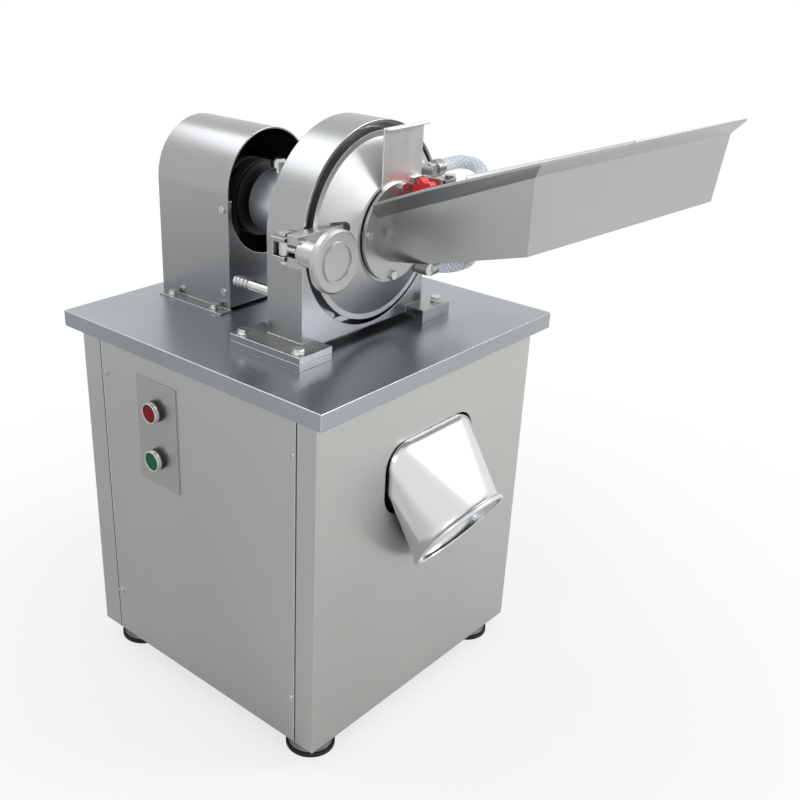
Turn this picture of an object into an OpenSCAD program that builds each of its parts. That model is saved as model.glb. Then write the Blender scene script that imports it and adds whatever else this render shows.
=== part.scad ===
// Floor-standing analytical lab mill: a belt-driven beater mill on a sheet-metal cabinet,
// with a hinged grinding chamber door, a long feed tray and a round discharge spout.
// Lengths in mm, +Z up. The door faces -Y and the buttons are on the -X side.

/* [Cabinet] */
// Width of the cabinet from left to right
cabinet_width = 435; // [400:1:480]
// Depth of the cabinet from front to back
cabinet_depth = 435; // [425:1:480]
// Height of the cabinet up to the underside of the table
cabinet_height = 497; // [470:1:540]
// Thickness of the cabinet panels
panel_sheet = 1.5; // [1:0.1:2.5]
// Length of the front panel's returns along the sides
wrap_front = 31.5; // [24:0.5:44]
// Length of the rear panel's returns along the sides
wrap_rear = 36.5; // [24:0.5:44]
// Open seam between the side panels and the returns
seam_gap = 0.8; // [0.4:0.1:1.5]

/* [Table] */
// Overhang of the table over the cabinet's sides
table_overhang_x = 14.5; // [8:0.5:20]
// Overhang of the table over the cabinet's front and back
table_overhang_y = 19; // [10:0.5:24]
// Height of the table's folded skirt
table_skirt = 21.6; // [15:0.1:30]
// Thickness of the table sheet
table_sheet = 3; // [2:0.5:5]

/* [Feet] */
// Height of the adjustable feet
foot_height = 28; // [24:1:36]
// Radius of the feet at the floor
foot_radius = 33.5; // [26:0.5:36]
// Height of the black rim under each foot
foot_pad_height = 6; // [4:0.5:9]
// Distance of the feet from the cabinet's sides
foot_inset = 40; // [38:1:60]

/* [Mill body] */
// Height of the spindle above the table
spindle_height = 140; // [137:1:160]
// Outer radius of the drum
drum_radius = 129.5; // [129:0.5:132]
// Distance of the drum's front edge from the table's centre
drum_front = 109; // [104:1:114]
// Depth of the drum from front to back
drum_depth = 59; // [57:1:66]
// Inner radius of the recess that takes the door
recess_radius = 126; // [124:0.5:126.5]
// Radius of the grinding chamber
chamber_radius = 112; // [110:0.5:113]
// Width of a foot plate
foot_plate_width = 57; // [50:1:60]
// Thickness of a foot plate and of the riser under it
foot_plate_thickness = 9; // [7:0.5:11]

/* [Door] */
// Radius of the door's rim
door_radius = 118; // [116:0.5:119]
// Radius of the flange ring at the front of the door's cone
door_ring_radius = 63.5; // [62:0.5:66]
// Thickness of the rim from back to front
door_rim_thickness = 16; // [14:0.5:18]
// Height of the cone between the rim and the ring
door_cone_height = 24; // [20:1:30]
// Opening angle of the door, in degrees
door_angle = 95; // [60:1:95]

/* [Feed] */
// Radius of the front plate of the feed flange
flange_radius = 60.5; // [59:0.5:63]
// Radius of the inlet through the door
inlet_radius = 26; // [20:1:27]
// Half of the trough's width at the flange
trough_radius = 37; // [34:1:39]
// Length of the trough from the flange to the tray's front wall
trough_length = 211; // [190:1:240]
// Length of the tray's rim from the left wall to the right end
tray_length = 484; // [420:1:520]
// Width of the tray from the front wall to the back wall
tray_width = 130; // [110:1:150]
// Outward reach of the tray's flared lip
lip_reach = 13; // [8:0.5:18]
// Rise of the tray's flared lip
lip_rise = 16.6; // [10:0.1:20]
// Thickness of the tray's sheet
tray_sheet = 2; // [1.5:0.1:3]
// Travel of the gate plate
gate_travel = 58; // [40:1:58]

/* [Clamp] */
// Radius of the clamp's hand wheel
wheel_radius = 36.8; // [30:0.2:42]
// Thickness of the hand wheel
wheel_thickness = 12; // [9:0.5:16]
// Radius of the hand wheel's hub
hub_radius = 15.5; // [13:0.5:18]
// Length of the hand wheel's hub
hub_length = 35; // [28:1:42]
// Radius of the eye bolt's shank
bolt_radius = 4.75; // [4:0.05:5.5]

/* [Drive] */
// Radius of the bearing housing
bearing_housing_radius = 42; // [40:0.5:46]
// Length of the bearing housing behind the drum
bearing_housing_length = 122; // [110:1:130]
// Radius of the spindle
spindle_radius = 12.5; // [11:0.5:13]
// Radius of the spindle pulley
spindle_pulley_radius = 50; // [44:1:54]
// Radius of the motor pulley
motor_pulley_radius = 60; // [50:1:70]
// Height of the motor's shaft above the cabinet's bottom
motor_height = 230; // [225:1:250]
// Radius of the belt guard's arch
guard_radius = 77; // [72:0.5:82]
// Height of the guard arch's centre above the table
guard_arch_height = 159; // [150:1:170]
// Depth of the belt guard from front to back
guard_depth = 138.5; // [100:0.5:140]

/* [Discharge] */
// Radius of the spout's mouth
mouth_radius = 67.5; // [60:0.5:72]
// Downward tilt of the spout's mouth, in degrees
mouth_tilt = 35; // [28:1:45]
// Width of the spout where it leaves the cabinet
spout_width = 170; // [150:1:180]
// Height of the spout where it leaves the cabinet
spout_height = 96; // [84:1:104]
// Height of the spout's centre above the cabinet's bottom where it leaves
spout_level = 351; // [340:1:360]
// Thickness of the duct's sheet
duct_sheet = 2; // [1.5:0.1:3]

/* [Buttons] */
// Height of the button plate
button_plate_height = 151; // [130:1:170]
// Width of the button plate
button_plate_width = 78; // [60:1:90]
// Radius of a button's bezel
bezel_radius = 14.75; // [13:0.25:17]
// Travel of a button
button_travel = 3.5; // [2:0.5:4]

/* [Hidden] */
fine = 96;
round_fine = 48;
$fn = round_fine;
overrun = 1;
touch = 0.3;
slip = 0.05;
hole_slack = 0.1;

// Half sizes and levels
half_x = cabinet_width / 2;
half_y = cabinet_depth / 2;
table_half_x = half_x + table_overhang_x;
table_half_y = half_y + table_overhang_y;
table_z = cabinet_height + table_sheet;
axis_z = table_z + spindle_height;

// Chamber places along the spindle
drum_y = -drum_front;
drum_back_y = drum_y + drum_depth;
back_wall = 8;
recess_depth = 13.8;
seat_y = drum_y + recess_depth;
gasket_thickness = 1.5;
door_back_y = seat_y - gasket_thickness - touch;
door_rim_y = door_back_y - door_rim_thickness;
door_nose_y = door_rim_y - door_cone_height;
ring_thickness = 2.3;
ring_y = door_nose_y - ring_thickness;
slit = 2.2;
plate_thickness = 4;
plate_back_y = ring_y - slit;
plate_y = plate_back_y - plate_thickness;

// Foot plates of the mill
foot_left_x = -107;
foot_right_x = 72;
foot_front_margin = 30;
foot_plate_length = 120;
foot_y = drum_y - foot_front_margin;
foot_plate_z = table_z + foot_plate_thickness;
foot_top_z = foot_plate_z + foot_plate_thickness;
body_right_x = 105;
body_left_x = 0.5 - drum_radius;
outlet_half = 55;
outlet_wall = 8;
pocket_radius = chamber_radius + back_wall;
foot_bolt_left_x = -153.3;
foot_bolt_right_x = 116.2;
foot_bolt_front_y = foot_y + 13;
foot_bolt_rear_y = foot_y + foot_plate_length - 13;
foot_bolt_places = [for (x = [foot_bolt_left_x, foot_bolt_right_x], y = [foot_bolt_front_y, foot_bolt_rear_y]) [x, y]];

// Hexagon bolts: radius over corners, head, washer and shank
large_head_radius = 7.5;
large_head_height = 5.3;
large_washer_radius = 8.5;
large_shank_radius = 4;
small_head_radius = 5.8;
small_head_height = 4;
small_washer_radius = 7;
small_shank_radius = 3;
washer_thickness = 1.6;

// Hinge of the door
hinge_x = 140;
hinge_y = drum_y - 9;
knuckle_radius = 9;
hinge_pin_radius = 5;
knuckle_half = 25;
ear_height = 15;
hinge_head_radius = 7.5;
hinge_head_height = 4;
ear_top_z = axis_z + knuckle_half + touch + ear_height;
ear_bottom_z = axis_z - knuckle_half - touch - ear_height;

// Clamp places
clamp_x = -151;
clamp_z = axis_z + 2.5;
clamp_pin_y = drum_y + 7;
clamp_pin_radius = 4;
eye_radius = 8;
eye_half = 8;
bracket_half = 13.5;
bracket_sheet = 5;
bracket_reach = 11;
bracket_front_y = clamp_pin_y - 9;
bracket_rear_y = clamp_pin_y + 14;
pin_over = 4;
pin_head = 11;
pin_head_height = 5;
fork_half = 19;
fork_slot_half = 7.5;
fork_depth = 17;
fork_end = 8;
fork_slot_end = 12;
fork_back_y = door_rim_y;
fork_y = fork_back_y - fork_depth;
fork_root_x = -82;
washer_radius = 13;
washer_depth = 5.5;
groove_radius = 9.5;
groove_depth = 1.5;
spigot_radius = 6;
spigot_length = 7;
bolt_end_y = fork_y + spigot_length + 1.5;
wheel_back_y = fork_y - touch - washer_depth - groove_depth - hub_length;
wheel_y = wheel_back_y - wheel_thickness;
wheel_edge = 2.5;
wheel_ring_radius = 21;
wheel_ring_width = 3;
wheel_ring_height = 2;

// Feed flange, gate and star knob
inlet_z = axis_z - trough_radius + inlet_radius + 0.5;
flange_bolt_circle = 54;
flange_bolt_start = 84;
flange_bolt_count = 4;
spacer_radius = 50;
gate_left_x = -26;
gate_right_x = 48;
gate_sheet = 1.8;
gate_play = 0.2;
gate_y = plate_back_y + gate_play;
gate_bottom_z = inlet_z - inlet_radius + gate_travel;
gate_top_z = axis_z + flange_radius + touch + gate_travel + 8;
gate_lip = 10;
star_x = 22;
star_y = plate_y - 17;
star_z = axis_z + 50;
star_radius = 15;
star_lobe_radius = 4.5;
star_lobes = 5;
star_thickness = 12;
star_screw_radius = 3;
star_ear_x = 44;
star_ear_sheet = 4;
star_ear_half = 12;
star_tab = 16;
star_tab_rise = 20;

// Feed tray, in its own places behind the flange plate
tray_front_y = plate_y - trough_length;
tray_back_y = tray_front_y + tray_width;
tray_left_x = -trough_radius - 3;
tray_right_x = tray_left_x + tray_length;
tray_end_slant = 28;
floor_front_left_z = axis_z + 22.5;
floor_front_right_z = axis_z + 2.5;
floor_pitch = (floor_front_left_z - axis_z + trough_radius) / trough_length;
rim_rise_left = 111.5;
rim_rise_right = 95;
rim_rise_flange = 28;
rim_front_left_z = axis_z + rim_rise_left;
rim_front_right_z = axis_z + rim_rise_right;
rim_flange_z = axis_z + rim_rise_flange;
rim_pitch = (rim_front_left_z - rim_flange_z) / trough_length;
tray_plate = 2;
lip_seat = 0.4;
lip_drop_share = 1.6;

// Door furniture
fitting_x = 81;
fitting_levels = [62, -68];
fitting_radius = 8;
fitting_reach = 19;
fitting_y = -131;
fitting_start_y = -110;
fitting_nut_radius = 10;
fitting_nut_length = 14;
fitting_ribs = 4;
door_lip = 7;
arm_slot_x = -90;
arm_slot_z = axis_z + 17;
arm_slot_length = 23;
arm_slot_radius = 7;
arm_slot_depth = 6;

// Water hose between the fittings, route of the centre line
hose_radius = 8.5;
hose_steps = 3;
hose_sides = 12;
hose_route = [
    [100, -131, 62], [118, -131, 63], [136, -137, 64], [147, -150, 61], [145, -164, 54], [131, -172, 44],
    [114, -173, 31], [104, -171, 13], [103, -170, -8], [112, -168, -30], [129, -165, -48], [146, -156, -62],
    [151, -144, -72], [138, -134, -76], [118, -131, -73], [100, -131, -68]
];

// Chamber parts
insert_teeth = 40;
insert_depth = 4;
insert_ring = 8;
insert_gap = 0.3;
screen_angle = 66;
screen_sheet = 2;
screen_radius = chamber_radius - touch;
screen_hole_radius = 3;
screen_hole_rows = 3;
screen_hole_columns = 9;
liner_radius = 99.7;
liner_thickness = 5.7;
liner_rib_height = 3;
liner_rib_width = 6;
liner_ribs = 12;
liner_rib_inner = 60;
liner_rib_outer = 95;
rotor_hub_radius = 28;
rotor_radius = 96;
rotor_arms = 6;
rotor_arm_width = 18;
rotor_back_y = drum_back_y - back_wall - 5;
rotor_depth = 20;
rotor_arm_margin = 2;
rotor_front_y = rotor_back_y - rotor_depth;
nut_height = 7;
nut_radius = 17;
spindle_front_y = rotor_front_y - nut_height - 1;

// Bearings
bearing_outer = 31;
bearing_inner_ring = 17.5;
bearing_outer_ring = 26;
bearing_width = 17;
ball_radius = 5.5;
ball_circle = (bearing_inner_ring + bearing_outer_ring) / 2;
ball_count = 7;
groove_slack = 0.1;
bearing_end_y = drum_back_y + bearing_housing_length;
rear_bearing_y = bearing_end_y - 5 - bearing_width;
front_bearing_y = drum_back_y + 10;
housing_flange_radius = 60;
housing_flange_depth = 8;
housing_bore = 28;
cap_flange_radius = 37;
cap_flange_depth = 3;
cap_bore = bearing_inner_ring + 1;
cap_screw_count = 6;
cap_screw_radius = 2.5;
cap_screw_height = 1.5;
cap_screw_circle = 32;
grease_y = bearing_end_y - 14;
grease_stem_radius = 6;
grease_seat_depth = 4;
grease_stem_height = 5;
grease_thread_radius = 8;
grease_thread_height = 6;
grease_cap_radius = 11;
grease_cap_height = 11;
grease_cap_wall = 2.8;

// Pulleys, belts and guard
pulley_y = bearing_end_y + 13;
pulley_width = 46;
belt_width = 12;
belt_height = 9;
belt_sink = 7.5;
groove_side = 0.4;
belt_places = [0.25 * pulley_width, 0.75 * pulley_width];
pulley_hub_radius = 24;
pulley_rim = 14;
pulley_dish = 5;
guard_sheet = 2;
guard_y = bearing_end_y + 3.5;
guard_rear_y = guard_y + guard_depth;
guard_arch_z = table_z + guard_arch_height;
guard_flange = 20;
guard_flange_margin_front = 3;
guard_flange_margin_rear = 15;
guard_bolt_x = guard_radius + 0.45 * guard_flange;
guard_bolt_places = [for (x = [-guard_bolt_x, guard_bolt_x], y = [guard_y + 21.5, guard_rear_y - 31.5]) [x, y]];
guard_plate_inset = 2;
guard_plate_lift = 4;
guard_tab = 16;
guard_notch_radius = 69;
guard_notch_drop = 3.5;
guard_plate_rise = 9.5;
spindle_end_y = pulley_y + pulley_width + 4;
table_slot_half = 66;

// Motor
motor_radius = 66;
motor_fin_radius = 74;
motor_fin_width = 2.5;
motor_fins = 32;
motor_front_y = -105;
motor_rear_y = pulley_y - 40;
shield_thickness = 12;
shield_radius = 70;
motor_shaft_radius = 12;
fan_gap = 8;
fan_thickness = 14;
fan_radius = 58;
fan_hub_radius = 20;
fan_blades = 8;
fan_blade_width = 3;
fan_margin = 1.5;
fan_cover_depth = 42;
fan_cover_sheet = 2;
fan_hole_radius = 4;
motor_plate_z = motor_height - motor_fin_radius - 21;
motor_plate_thickness = 8;
motor_plate_half_x = 110;
motor_foot_half = 60;
motor_foot_width = 30;
terminal_half = 32;
terminal_length = 60;
terminal_height = 36;
terminal_y = -30;
terminal_pad = 4;
motor_bolt_x = motor_foot_half - 12;

// Cabinet frame
post_width = 25;
post_sheet = 3;
floor_sheet = 2;
rail_size = 20;
frame_half_x = half_x - panel_sheet - touch;
frame_half_y = half_y - panel_sheet - touch;
rail_z = motor_plate_z - rail_size;
stud_radius = 5;
stud_over = 12;
foot_nut_height = 8;
foot_nut_radius = 10;
foot_shoulder_radius = 20;
foot_x = half_x - foot_inset;
foot_y_place = half_y - foot_inset;

// Pan head screws
pan_radius = 5;
pan_height = 2.4;
pan_slot = 1.2;
pan_slot_depth = 1;
side_screw_edge = 7;
side_screw_low_z = 70;
side_screw_top_margin = 73.5;
side_screw_high_z = cabinet_height - side_screw_top_margin;

// Buttons
button_plate_y = 65.8;
button_plate_drop = 130.4;
button_plate_z = cabinet_height - button_plate_drop;
button_plate_thickness = 2;
button_pitch = 70;
bezel_depth = 13;
bezel_wall = 3;
bezel_floor = 5;
cap_play = 0.4;
cap_radius = bezel_radius - bezel_wall - cap_play;
barrel_radius = 10.8;
barrel_length = 24;
stem_radius = 3;
stem_length = 20;
plate_x = -half_x - button_plate_thickness;
bezel_x = plate_x - bezel_depth;
cap_x = bezel_x + touch;
cap_back_x = plate_x - bezel_floor - button_travel - touch;

// Cable gland and water inlet
gland_x = 120;
gland_z = 60;
gland_bore = 5.5;
gland_thread = 8;
gland_body = 11;
gland_length = 24;
gland_inside = 8;
inlet_pipe_drop = 89;
inlet_way = 2.5;
inlet_pipe_radius = 7;
inlet_pipe_bore = 4.5;
inlet_pipe_x = -guard_radius - inlet_way - inlet_pipe_bore;
inlet_pipe_z = axis_z - inlet_pipe_drop;
inlet_pipe_length = 103;
inlet_nut_radius = 11;
inlet_nut_length = 8;
barb_rise = 1.2;
barb_length = 5;
barb_count = 4;

// Discharge duct
mouth_reach = 56;
mouth_y = -half_y - mouth_reach;
mouth_z = 267;
collar_length = 12;
bead_radius = 3.5;
bead_proud = 1;
spout_side_gap = 6;
spout_top_gap = 1;
spout_low_gap = 5;
spout_corner = 34;
chute_half = outlet_half + 6;
chute_front_y = seat_y - 6;
chute_back_y = drum_back_y - back_wall + 3;
chute_corner = 5;
duct_inner_y = -half_y + 14;
duct_nose = 4;
collar_lap = 1.6;
round_share = 0.98;

// The part's own centre and floor, from the extents of the parts that reach furthest
reach_left = min(bezel_x, -table_half_x);
reach_right = max(tray_right_x + lip_reach, table_half_x);
reach_front = min(tray_front_y - lip_reach, -table_half_y);
reach_back = max(table_half_y, half_y + gland_length);

// Moves a sub-part into the frame whose origin is the middle of the floor under the part
module placed()
    translate([-(reach_left + reach_right) / 2, -(reach_front + reach_back) / 2, foot_height])
        children();

// Box between two corners
module span_box(low, high)
    translate(low)
        cube(high - low);

// Rod along Y between two places
module rod_y(radius, y_from, y_to, x = 0, z = 0, sides = fine)
    translate([x, y_to, z])
        rotate([90, 0, 0])
            cylinder(r = radius, h = y_to - y_from, $fn = sides);

// Ring along Y between two places
module ring_y(outer, inner, y_from, y_to, x = 0, z = 0)
    difference() {
        rod_y(outer, y_from, y_to, x, z);
        rod_y(inner, y_from - overrun, y_to + overrun, x, z);
    }

// Rod along X between two places
module rod_x(radius, x_from, x_to, y = 0, z = 0, sides = round_fine)
    translate([x_from, y, z])
        rotate([0, 90, 0])
            cylinder(r = radius, h = x_to - x_from, $fn = sides);

// Outline in X and Z, drawn out along Y between two places
module slab_y(y_from, y_to)
    translate([0, y_to, 0])
        rotate([90, 0, 0])
            linear_extrude(height = y_to - y_from)
                children();

// Solid lofted through rings with the same number of points
module loft(rings)
    let (sides = len(rings[0]), last = len(rings) - 1)
    polyhedron(
        points = [for (ring = rings, point = ring) point],
        faces = concat(
            [[for (k = [0 : sides - 1]) k]],
            [for (row = [0 : last - 1], k = [0 : sides - 1], half = [0, 1])
                let (a = row * sides + k, b = row * sides + (k + 1) % sides)
                half == 0 ? [a, a + sides, b] : [b, a + sides, b + sides]],
            [[for (k = [sides - 1 : -1 : 0]) last * sides + k]]
        )
    );

// Points of a rounded rectangle about its centre
function rounded_points(width, height, corner, steps = 6) = [
    for (side = [0 : 3], step = [0 : steps])
        let (angle = 90 * side + 90 * step / steps,
            cx = (side == 0 || side == 3 ? 1 : -1) * (width / 2 - corner),
            cz = (side < 2 ? 1 : -1) * (height / 2 - corner))
        [cx + corner * cos(angle), cz + corner * sin(angle)]
];

// Hexagon bolt with its washer, its seat at the origin and its shank along -Z
module hex_bolt(head_radius, head_height, washer_size, shank_radius, shank_length) {
    cylinder(r = washer_size, h = washer_thickness);
    translate([0, 0, washer_thickness])
        cylinder(r = head_radius, h = head_height, $fn = 6);
    translate([0, 0, -shank_length])
        cylinder(r = shank_radius, h = shank_length + washer_thickness);
}

// Pan head screw with a slot, its seat at the origin and its head along +Z
module pan_head(scale_share = 1)
    scale(scale_share)
        difference() {
            union() {
                cylinder(r = pan_radius, h = pan_height / 2);
                cylinder(r = 0.8 * pan_radius, h = pan_height);
            }
            translate([-pan_radius, -pan_slot / 2, pan_height - pan_slot_depth])
                cube([2 * pan_radius, pan_slot, pan_height]);
        }

// Frame and cabinet

module base_frame() placed() color("DimGray")
    difference() {
        union() {
            span_box([-frame_half_x, -frame_half_y, 0], [frame_half_x, frame_half_y, floor_sheet]);
            for (sx = [-1, 1], sy = [-1, 1])
                scale([sx, sy, 1])
                    corner_post();
            for (sx = [-1, 1])
                scale([sx, 1, 1])
                    span_box([frame_half_x - rail_size, -frame_half_y + post_sheet, rail_z],
                        [frame_half_x, frame_half_y - post_sheet, motor_plate_z]);
            for (y = [motor_front_y + rail_size, motor_rear_y - rail_size])
                span_box([-frame_half_x + post_sheet, y - rail_size / 2, rail_z],
                    [frame_half_x - post_sheet, y + rail_size / 2, motor_plate_z]);
        }
        for (sx = [-1, 1], sy = [-1, 1])
            translate([sx * foot_x, sy * foot_y_place, -overrun])
                cylinder(r = stud_radius + hole_slack, h = floor_sheet + 2 * overrun);
        for (place = motor_bolt_places())
            translate([place[0], place[1], rail_z - overrun])
                cylinder(r = large_shank_radius + hole_slack, h = rail_size + 2 * overrun);
    }

module corner_post()
    difference() {
        span_box([frame_half_x - post_width, frame_half_y - post_width, 0], [frame_half_x, frame_half_y, cabinet_height]);
        span_box([frame_half_x - post_width - overrun, frame_half_y - post_width - overrun, floor_sheet],
            [frame_half_x - post_sheet, frame_half_y - post_sheet, cabinet_height + overrun]);
    }

module front_panel() placed() color("LightGray")
    difference() {
        wrapped_panel(wrap_front);
        translate([0, 0, spout_level + (spout_top_gap - spout_low_gap) / 2])
            slab_y(-half_y - overrun, -half_y + panel_sheet + overrun)
                polygon(rounded_points(spout_width + 2 * spout_side_gap,
                    spout_height + spout_top_gap + spout_low_gap, spout_corner));
    }

// Panel across the front with a return along each side
module wrapped_panel(wrap)
    difference() {
        span_box([-half_x, -half_y, 0], [half_x, -half_y + wrap, cabinet_height]);
        span_box([-half_x + panel_sheet, -half_y + panel_sheet, -overrun],
            [half_x - panel_sheet, -half_y + wrap + overrun, cabinet_height + overrun]);
    }

module rear_panel() placed() color("LightGray")
    difference() {
        scale([1, -1, 1])
            wrapped_panel(wrap_rear);
        rod_y(gland_thread + hole_slack, half_y - panel_sheet - overrun, half_y + overrun, gland_x, gland_z);
    }

module side_sheet()
    span_box([-half_x, -half_y + wrap_front + seam_gap, 0],
        [-half_x + panel_sheet, half_y - wrap_rear - seam_gap, cabinet_height]);

module left_panel() placed() color("Silver")
    difference() {
        side_sheet();
        button_holes(-half_x - overrun, -half_x + panel_sheet + overrun);
    }

module right_panel() placed() color("Silver")
    scale([-1, 1, 1])
        side_sheet();

module panel_screws() placed() color("Gainsboro") {
    for (side = [-1, 1], z = [side_screw_low_z, side_screw_high_z],
        y = [-half_y + wrap_front + side_screw_edge, half_y - wrap_rear - side_screw_edge])
        translate([side * half_x, y, z])
            rotate([0, side * 90, 0])
                pan_head();
    for (side = [-1, 1], z = [table_z + 25.4, axis_z - 2.3])
        translate([side * guard_radius, guard_y + guard_tab - 5.5, z])
            rotate([0, side * 90, 0])
                pan_head();
    for (side = [-1, 1])
        translate([side * guard_radius, guard_rear_y - 44, table_z + 11.5])
            rotate([0, side * 90, 0])
                pan_head(0.7);
}

module table_top() placed() color("LightSteelBlue")
    difference() {
        span_box([-table_half_x, -table_half_y, table_z - table_skirt], [table_half_x, table_half_y, table_z]);
        span_box([-table_half_x + table_sheet, -table_half_y + table_sheet, table_z - table_skirt - overrun],
            [table_half_x - table_sheet, table_half_y - table_sheet, cabinet_height]);
        span_box([-outlet_half, seat_y, cabinet_height - overrun], [outlet_half, drum_back_y - back_wall, table_z + overrun]);
        span_box([-table_slot_half, pulley_y - 2, cabinet_height - overrun],
            [table_slot_half, pulley_y + pulley_width + 2, table_z + overrun]);
        bolt_holes(foot_bolt_places, large_shank_radius, cabinet_height, table_z);
        bolt_holes(guard_bolt_places, small_shank_radius, cabinet_height, table_z);
    }

// Clearance holes along Z for bolts
module bolt_holes(places, shank, z_from, z_to)
    for (place = places)
        translate([place[0], place[1], z_from - overrun])
            cylinder(r = shank + hole_slack, h = z_to - z_from + 2 * overrun);

module levelling_feet() placed() color("DarkSlateGray")
    for (sx = [-1, 1], sy = [-1, 1])
        translate([sx * foot_x, sy * foot_y_place, -foot_height + foot_pad_height]) {
            cylinder(r1 = foot_radius - 3, r2 = foot_shoulder_radius,
                h = foot_height - foot_pad_height - foot_nut_height, $fn = fine);
            translate([0, 0, foot_height - foot_pad_height - foot_nut_height])
                cylinder(r = foot_nut_radius, h = foot_nut_height, $fn = 6);
            cylinder(r = stud_radius, h = foot_height - foot_pad_height + stud_over);
        }

module foot_pads() placed() color("Black")
    for (sx = [-1, 1], sy = [-1, 1])
        translate([sx * foot_x, sy * foot_y_place, -foot_height])
            cylinder(r = foot_radius, h = foot_pad_height, $fn = fine);

// Buttons

// Holes along X for the barrels of both buttons
module button_holes(x_from, x_to)
    for (side = [-1, 1])
        rod_x(barrel_radius + hole_slack, x_from, x_to, button_plate_y, button_plate_z + side * button_pitch / 2);

module button_plate() placed() color("WhiteSmoke")
    difference() {
        span_box([plate_x, button_plate_y - button_plate_width / 2, button_plate_z - button_plate_height / 2],
            [-half_x, button_plate_y + button_plate_width / 2, button_plate_z + button_plate_height / 2]);
        button_holes(plate_x - overrun, -half_x + overrun);
    }

module button_bodies() placed() color("Gray")
    for (side = [-1, 1])
        translate([0, button_plate_y, button_plate_z + side * button_pitch / 2])
            difference() {
                union() {
                    rod_x(bezel_radius, bezel_x, plate_x, sides = fine);
                    rod_x(barrel_radius, plate_x, plate_x + barrel_length);
                }
                rod_x(bezel_radius - bezel_wall, bezel_x - overrun, plate_x - bezel_floor, sides = fine);
                rod_x(stem_radius + slip, bezel_x, plate_x + barrel_length + overrun);
            }

// Button cap with its stem
module button_cap(side)
    translate([0, button_plate_y, button_plate_z + side * button_pitch / 2]) {
        rod_x(cap_radius, cap_x, cap_back_x, sides = fine);
        rod_x(stem_radius, cap_back_x - 1, cap_back_x + stem_length);
    }

module stop_button_cap() placed() color("Red")
    button_cap(1);

module start_button_cap() placed() color("Green")
    button_cap(-1);

module cable_gland() placed() color("Black")
    difference() {
        union() {
            rod_y(gland_thread, half_y - gland_inside, half_y + overrun, gland_x, gland_z);
            rod_y(gland_body, half_y, half_y + gland_length / 3, gland_x, gland_z, 6);
            rod_y(gland_body - 1.5, half_y + gland_length / 3, half_y + gland_length, gland_x, gland_z);
        }
        rod_y(gland_bore, half_y - gland_inside - overrun, half_y + gland_length + overrun, gland_x, gland_z);
    }

// Motor and drive

function motor_bolt_places() = [for (sx = [-1, 1], y = [motor_front_y + rail_size, motor_rear_y - rail_size])
    [sx * motor_bolt_x, y]];

module motor_plate() placed() color("DarkGray")
    difference() {
        span_box([-motor_plate_half_x, motor_front_y, motor_plate_z],
            [motor_plate_half_x, motor_rear_y, motor_plate_z + motor_plate_thickness]);
        bolt_holes(motor_bolt_places(), large_shank_radius, motor_plate_z, motor_plate_z + motor_plate_thickness);
    }

module motor_body() placed() color("SlateGray")
    difference() {
        union() {
            rod_y(motor_radius, motor_front_y, motor_rear_y, 0, motor_height);
            for (fin = [0 : motor_fins - 1])
                translate([0, motor_front_y, motor_height])
                    rotate([0, fin * 360 / motor_fins, 0])
                        translate([-motor_fin_width / 2, 0, motor_radius - 3])
                            cube([motor_fin_width, motor_rear_y - motor_front_y, motor_fin_radius - motor_radius + 3]);
            for (y = [motor_front_y + rail_size, motor_rear_y - rail_size]) {
                span_box([-motor_foot_half, y - motor_foot_width / 2, motor_plate_z + motor_plate_thickness],
                    [motor_foot_half, y + motor_foot_width / 2, motor_plate_z + 2 * motor_plate_thickness]);
                span_box([-motor_foot_half / 2, y - motor_foot_width / 2, motor_plate_z + motor_plate_thickness],
                    [motor_foot_half / 2, y + motor_foot_width / 2, motor_height]);
            }
            span_box([-terminal_half, terminal_y, motor_height],
                [terminal_half, terminal_y + terminal_length, motor_height + motor_fin_radius + terminal_pad]);
        }
        rod_y(motor_shaft_radius + 2, motor_front_y - overrun, motor_rear_y + overrun, 0, motor_height);
        bolt_holes(motor_bolt_places(), large_shank_radius, motor_plate_z + motor_plate_thickness,
            motor_plate_z + 2 * motor_plate_thickness);
    }

module motor_end_shields() placed() color("SlateGray") {
    ring_y(shield_radius, motor_shaft_radius + slip, motor_front_y - shield_thickness, motor_front_y, 0, motor_height);
    ring_y(shield_radius, motor_shaft_radius + slip, motor_rear_y, motor_rear_y + shield_thickness, 0, motor_height);
}

module motor_fan_cover() placed() color("Black")
    difference() {
        rod_y(shield_radius + fan_cover_sheet, motor_front_y - shield_thickness - fan_cover_depth,
            motor_front_y - shield_thickness + 6, 0, motor_height);
        rod_y(shield_radius, motor_front_y - shield_thickness - fan_cover_depth + fan_cover_sheet,
            motor_front_y + overrun, 0, motor_height);
        for (circle_share = [0.3, 0.55, 0.8], hole = [0 : 15])
            rod_y(fan_hole_radius, motor_front_y - shield_thickness - fan_cover_depth - overrun,
                motor_front_y - shield_thickness - fan_cover_depth + fan_cover_sheet + overrun,
                circle_share * shield_radius * cos(hole * 360 / 16),
                motor_height + circle_share * shield_radius * sin(hole * 360 / 16), 24);
    }

fan_y = motor_front_y - shield_thickness - fan_gap - fan_thickness;

module motor_fan() placed() color("DimGray")
    difference() {
        union() {
            rod_y(fan_hub_radius, fan_y, fan_y + fan_thickness, 0, motor_height);
            for (blade = [0 : fan_blades - 1])
                translate([0, 0, motor_height])
                    rotate([0, blade * 360 / fan_blades, 0])
                        span_box([-fan_blade_width / 2, fan_y + fan_margin, fan_hub_radius - fan_margin],
                            [fan_blade_width / 2, fan_y + fan_thickness - fan_margin, fan_radius]);
        }
        rod_y(motor_shaft_radius, fan_y - overrun, fan_y + fan_thickness + overrun, 0, motor_height);
    }

module motor_shaft() placed() color("Silver")
    rod_y(motor_shaft_radius, fan_y - 3, spindle_end_y, 0, motor_height);

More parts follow.
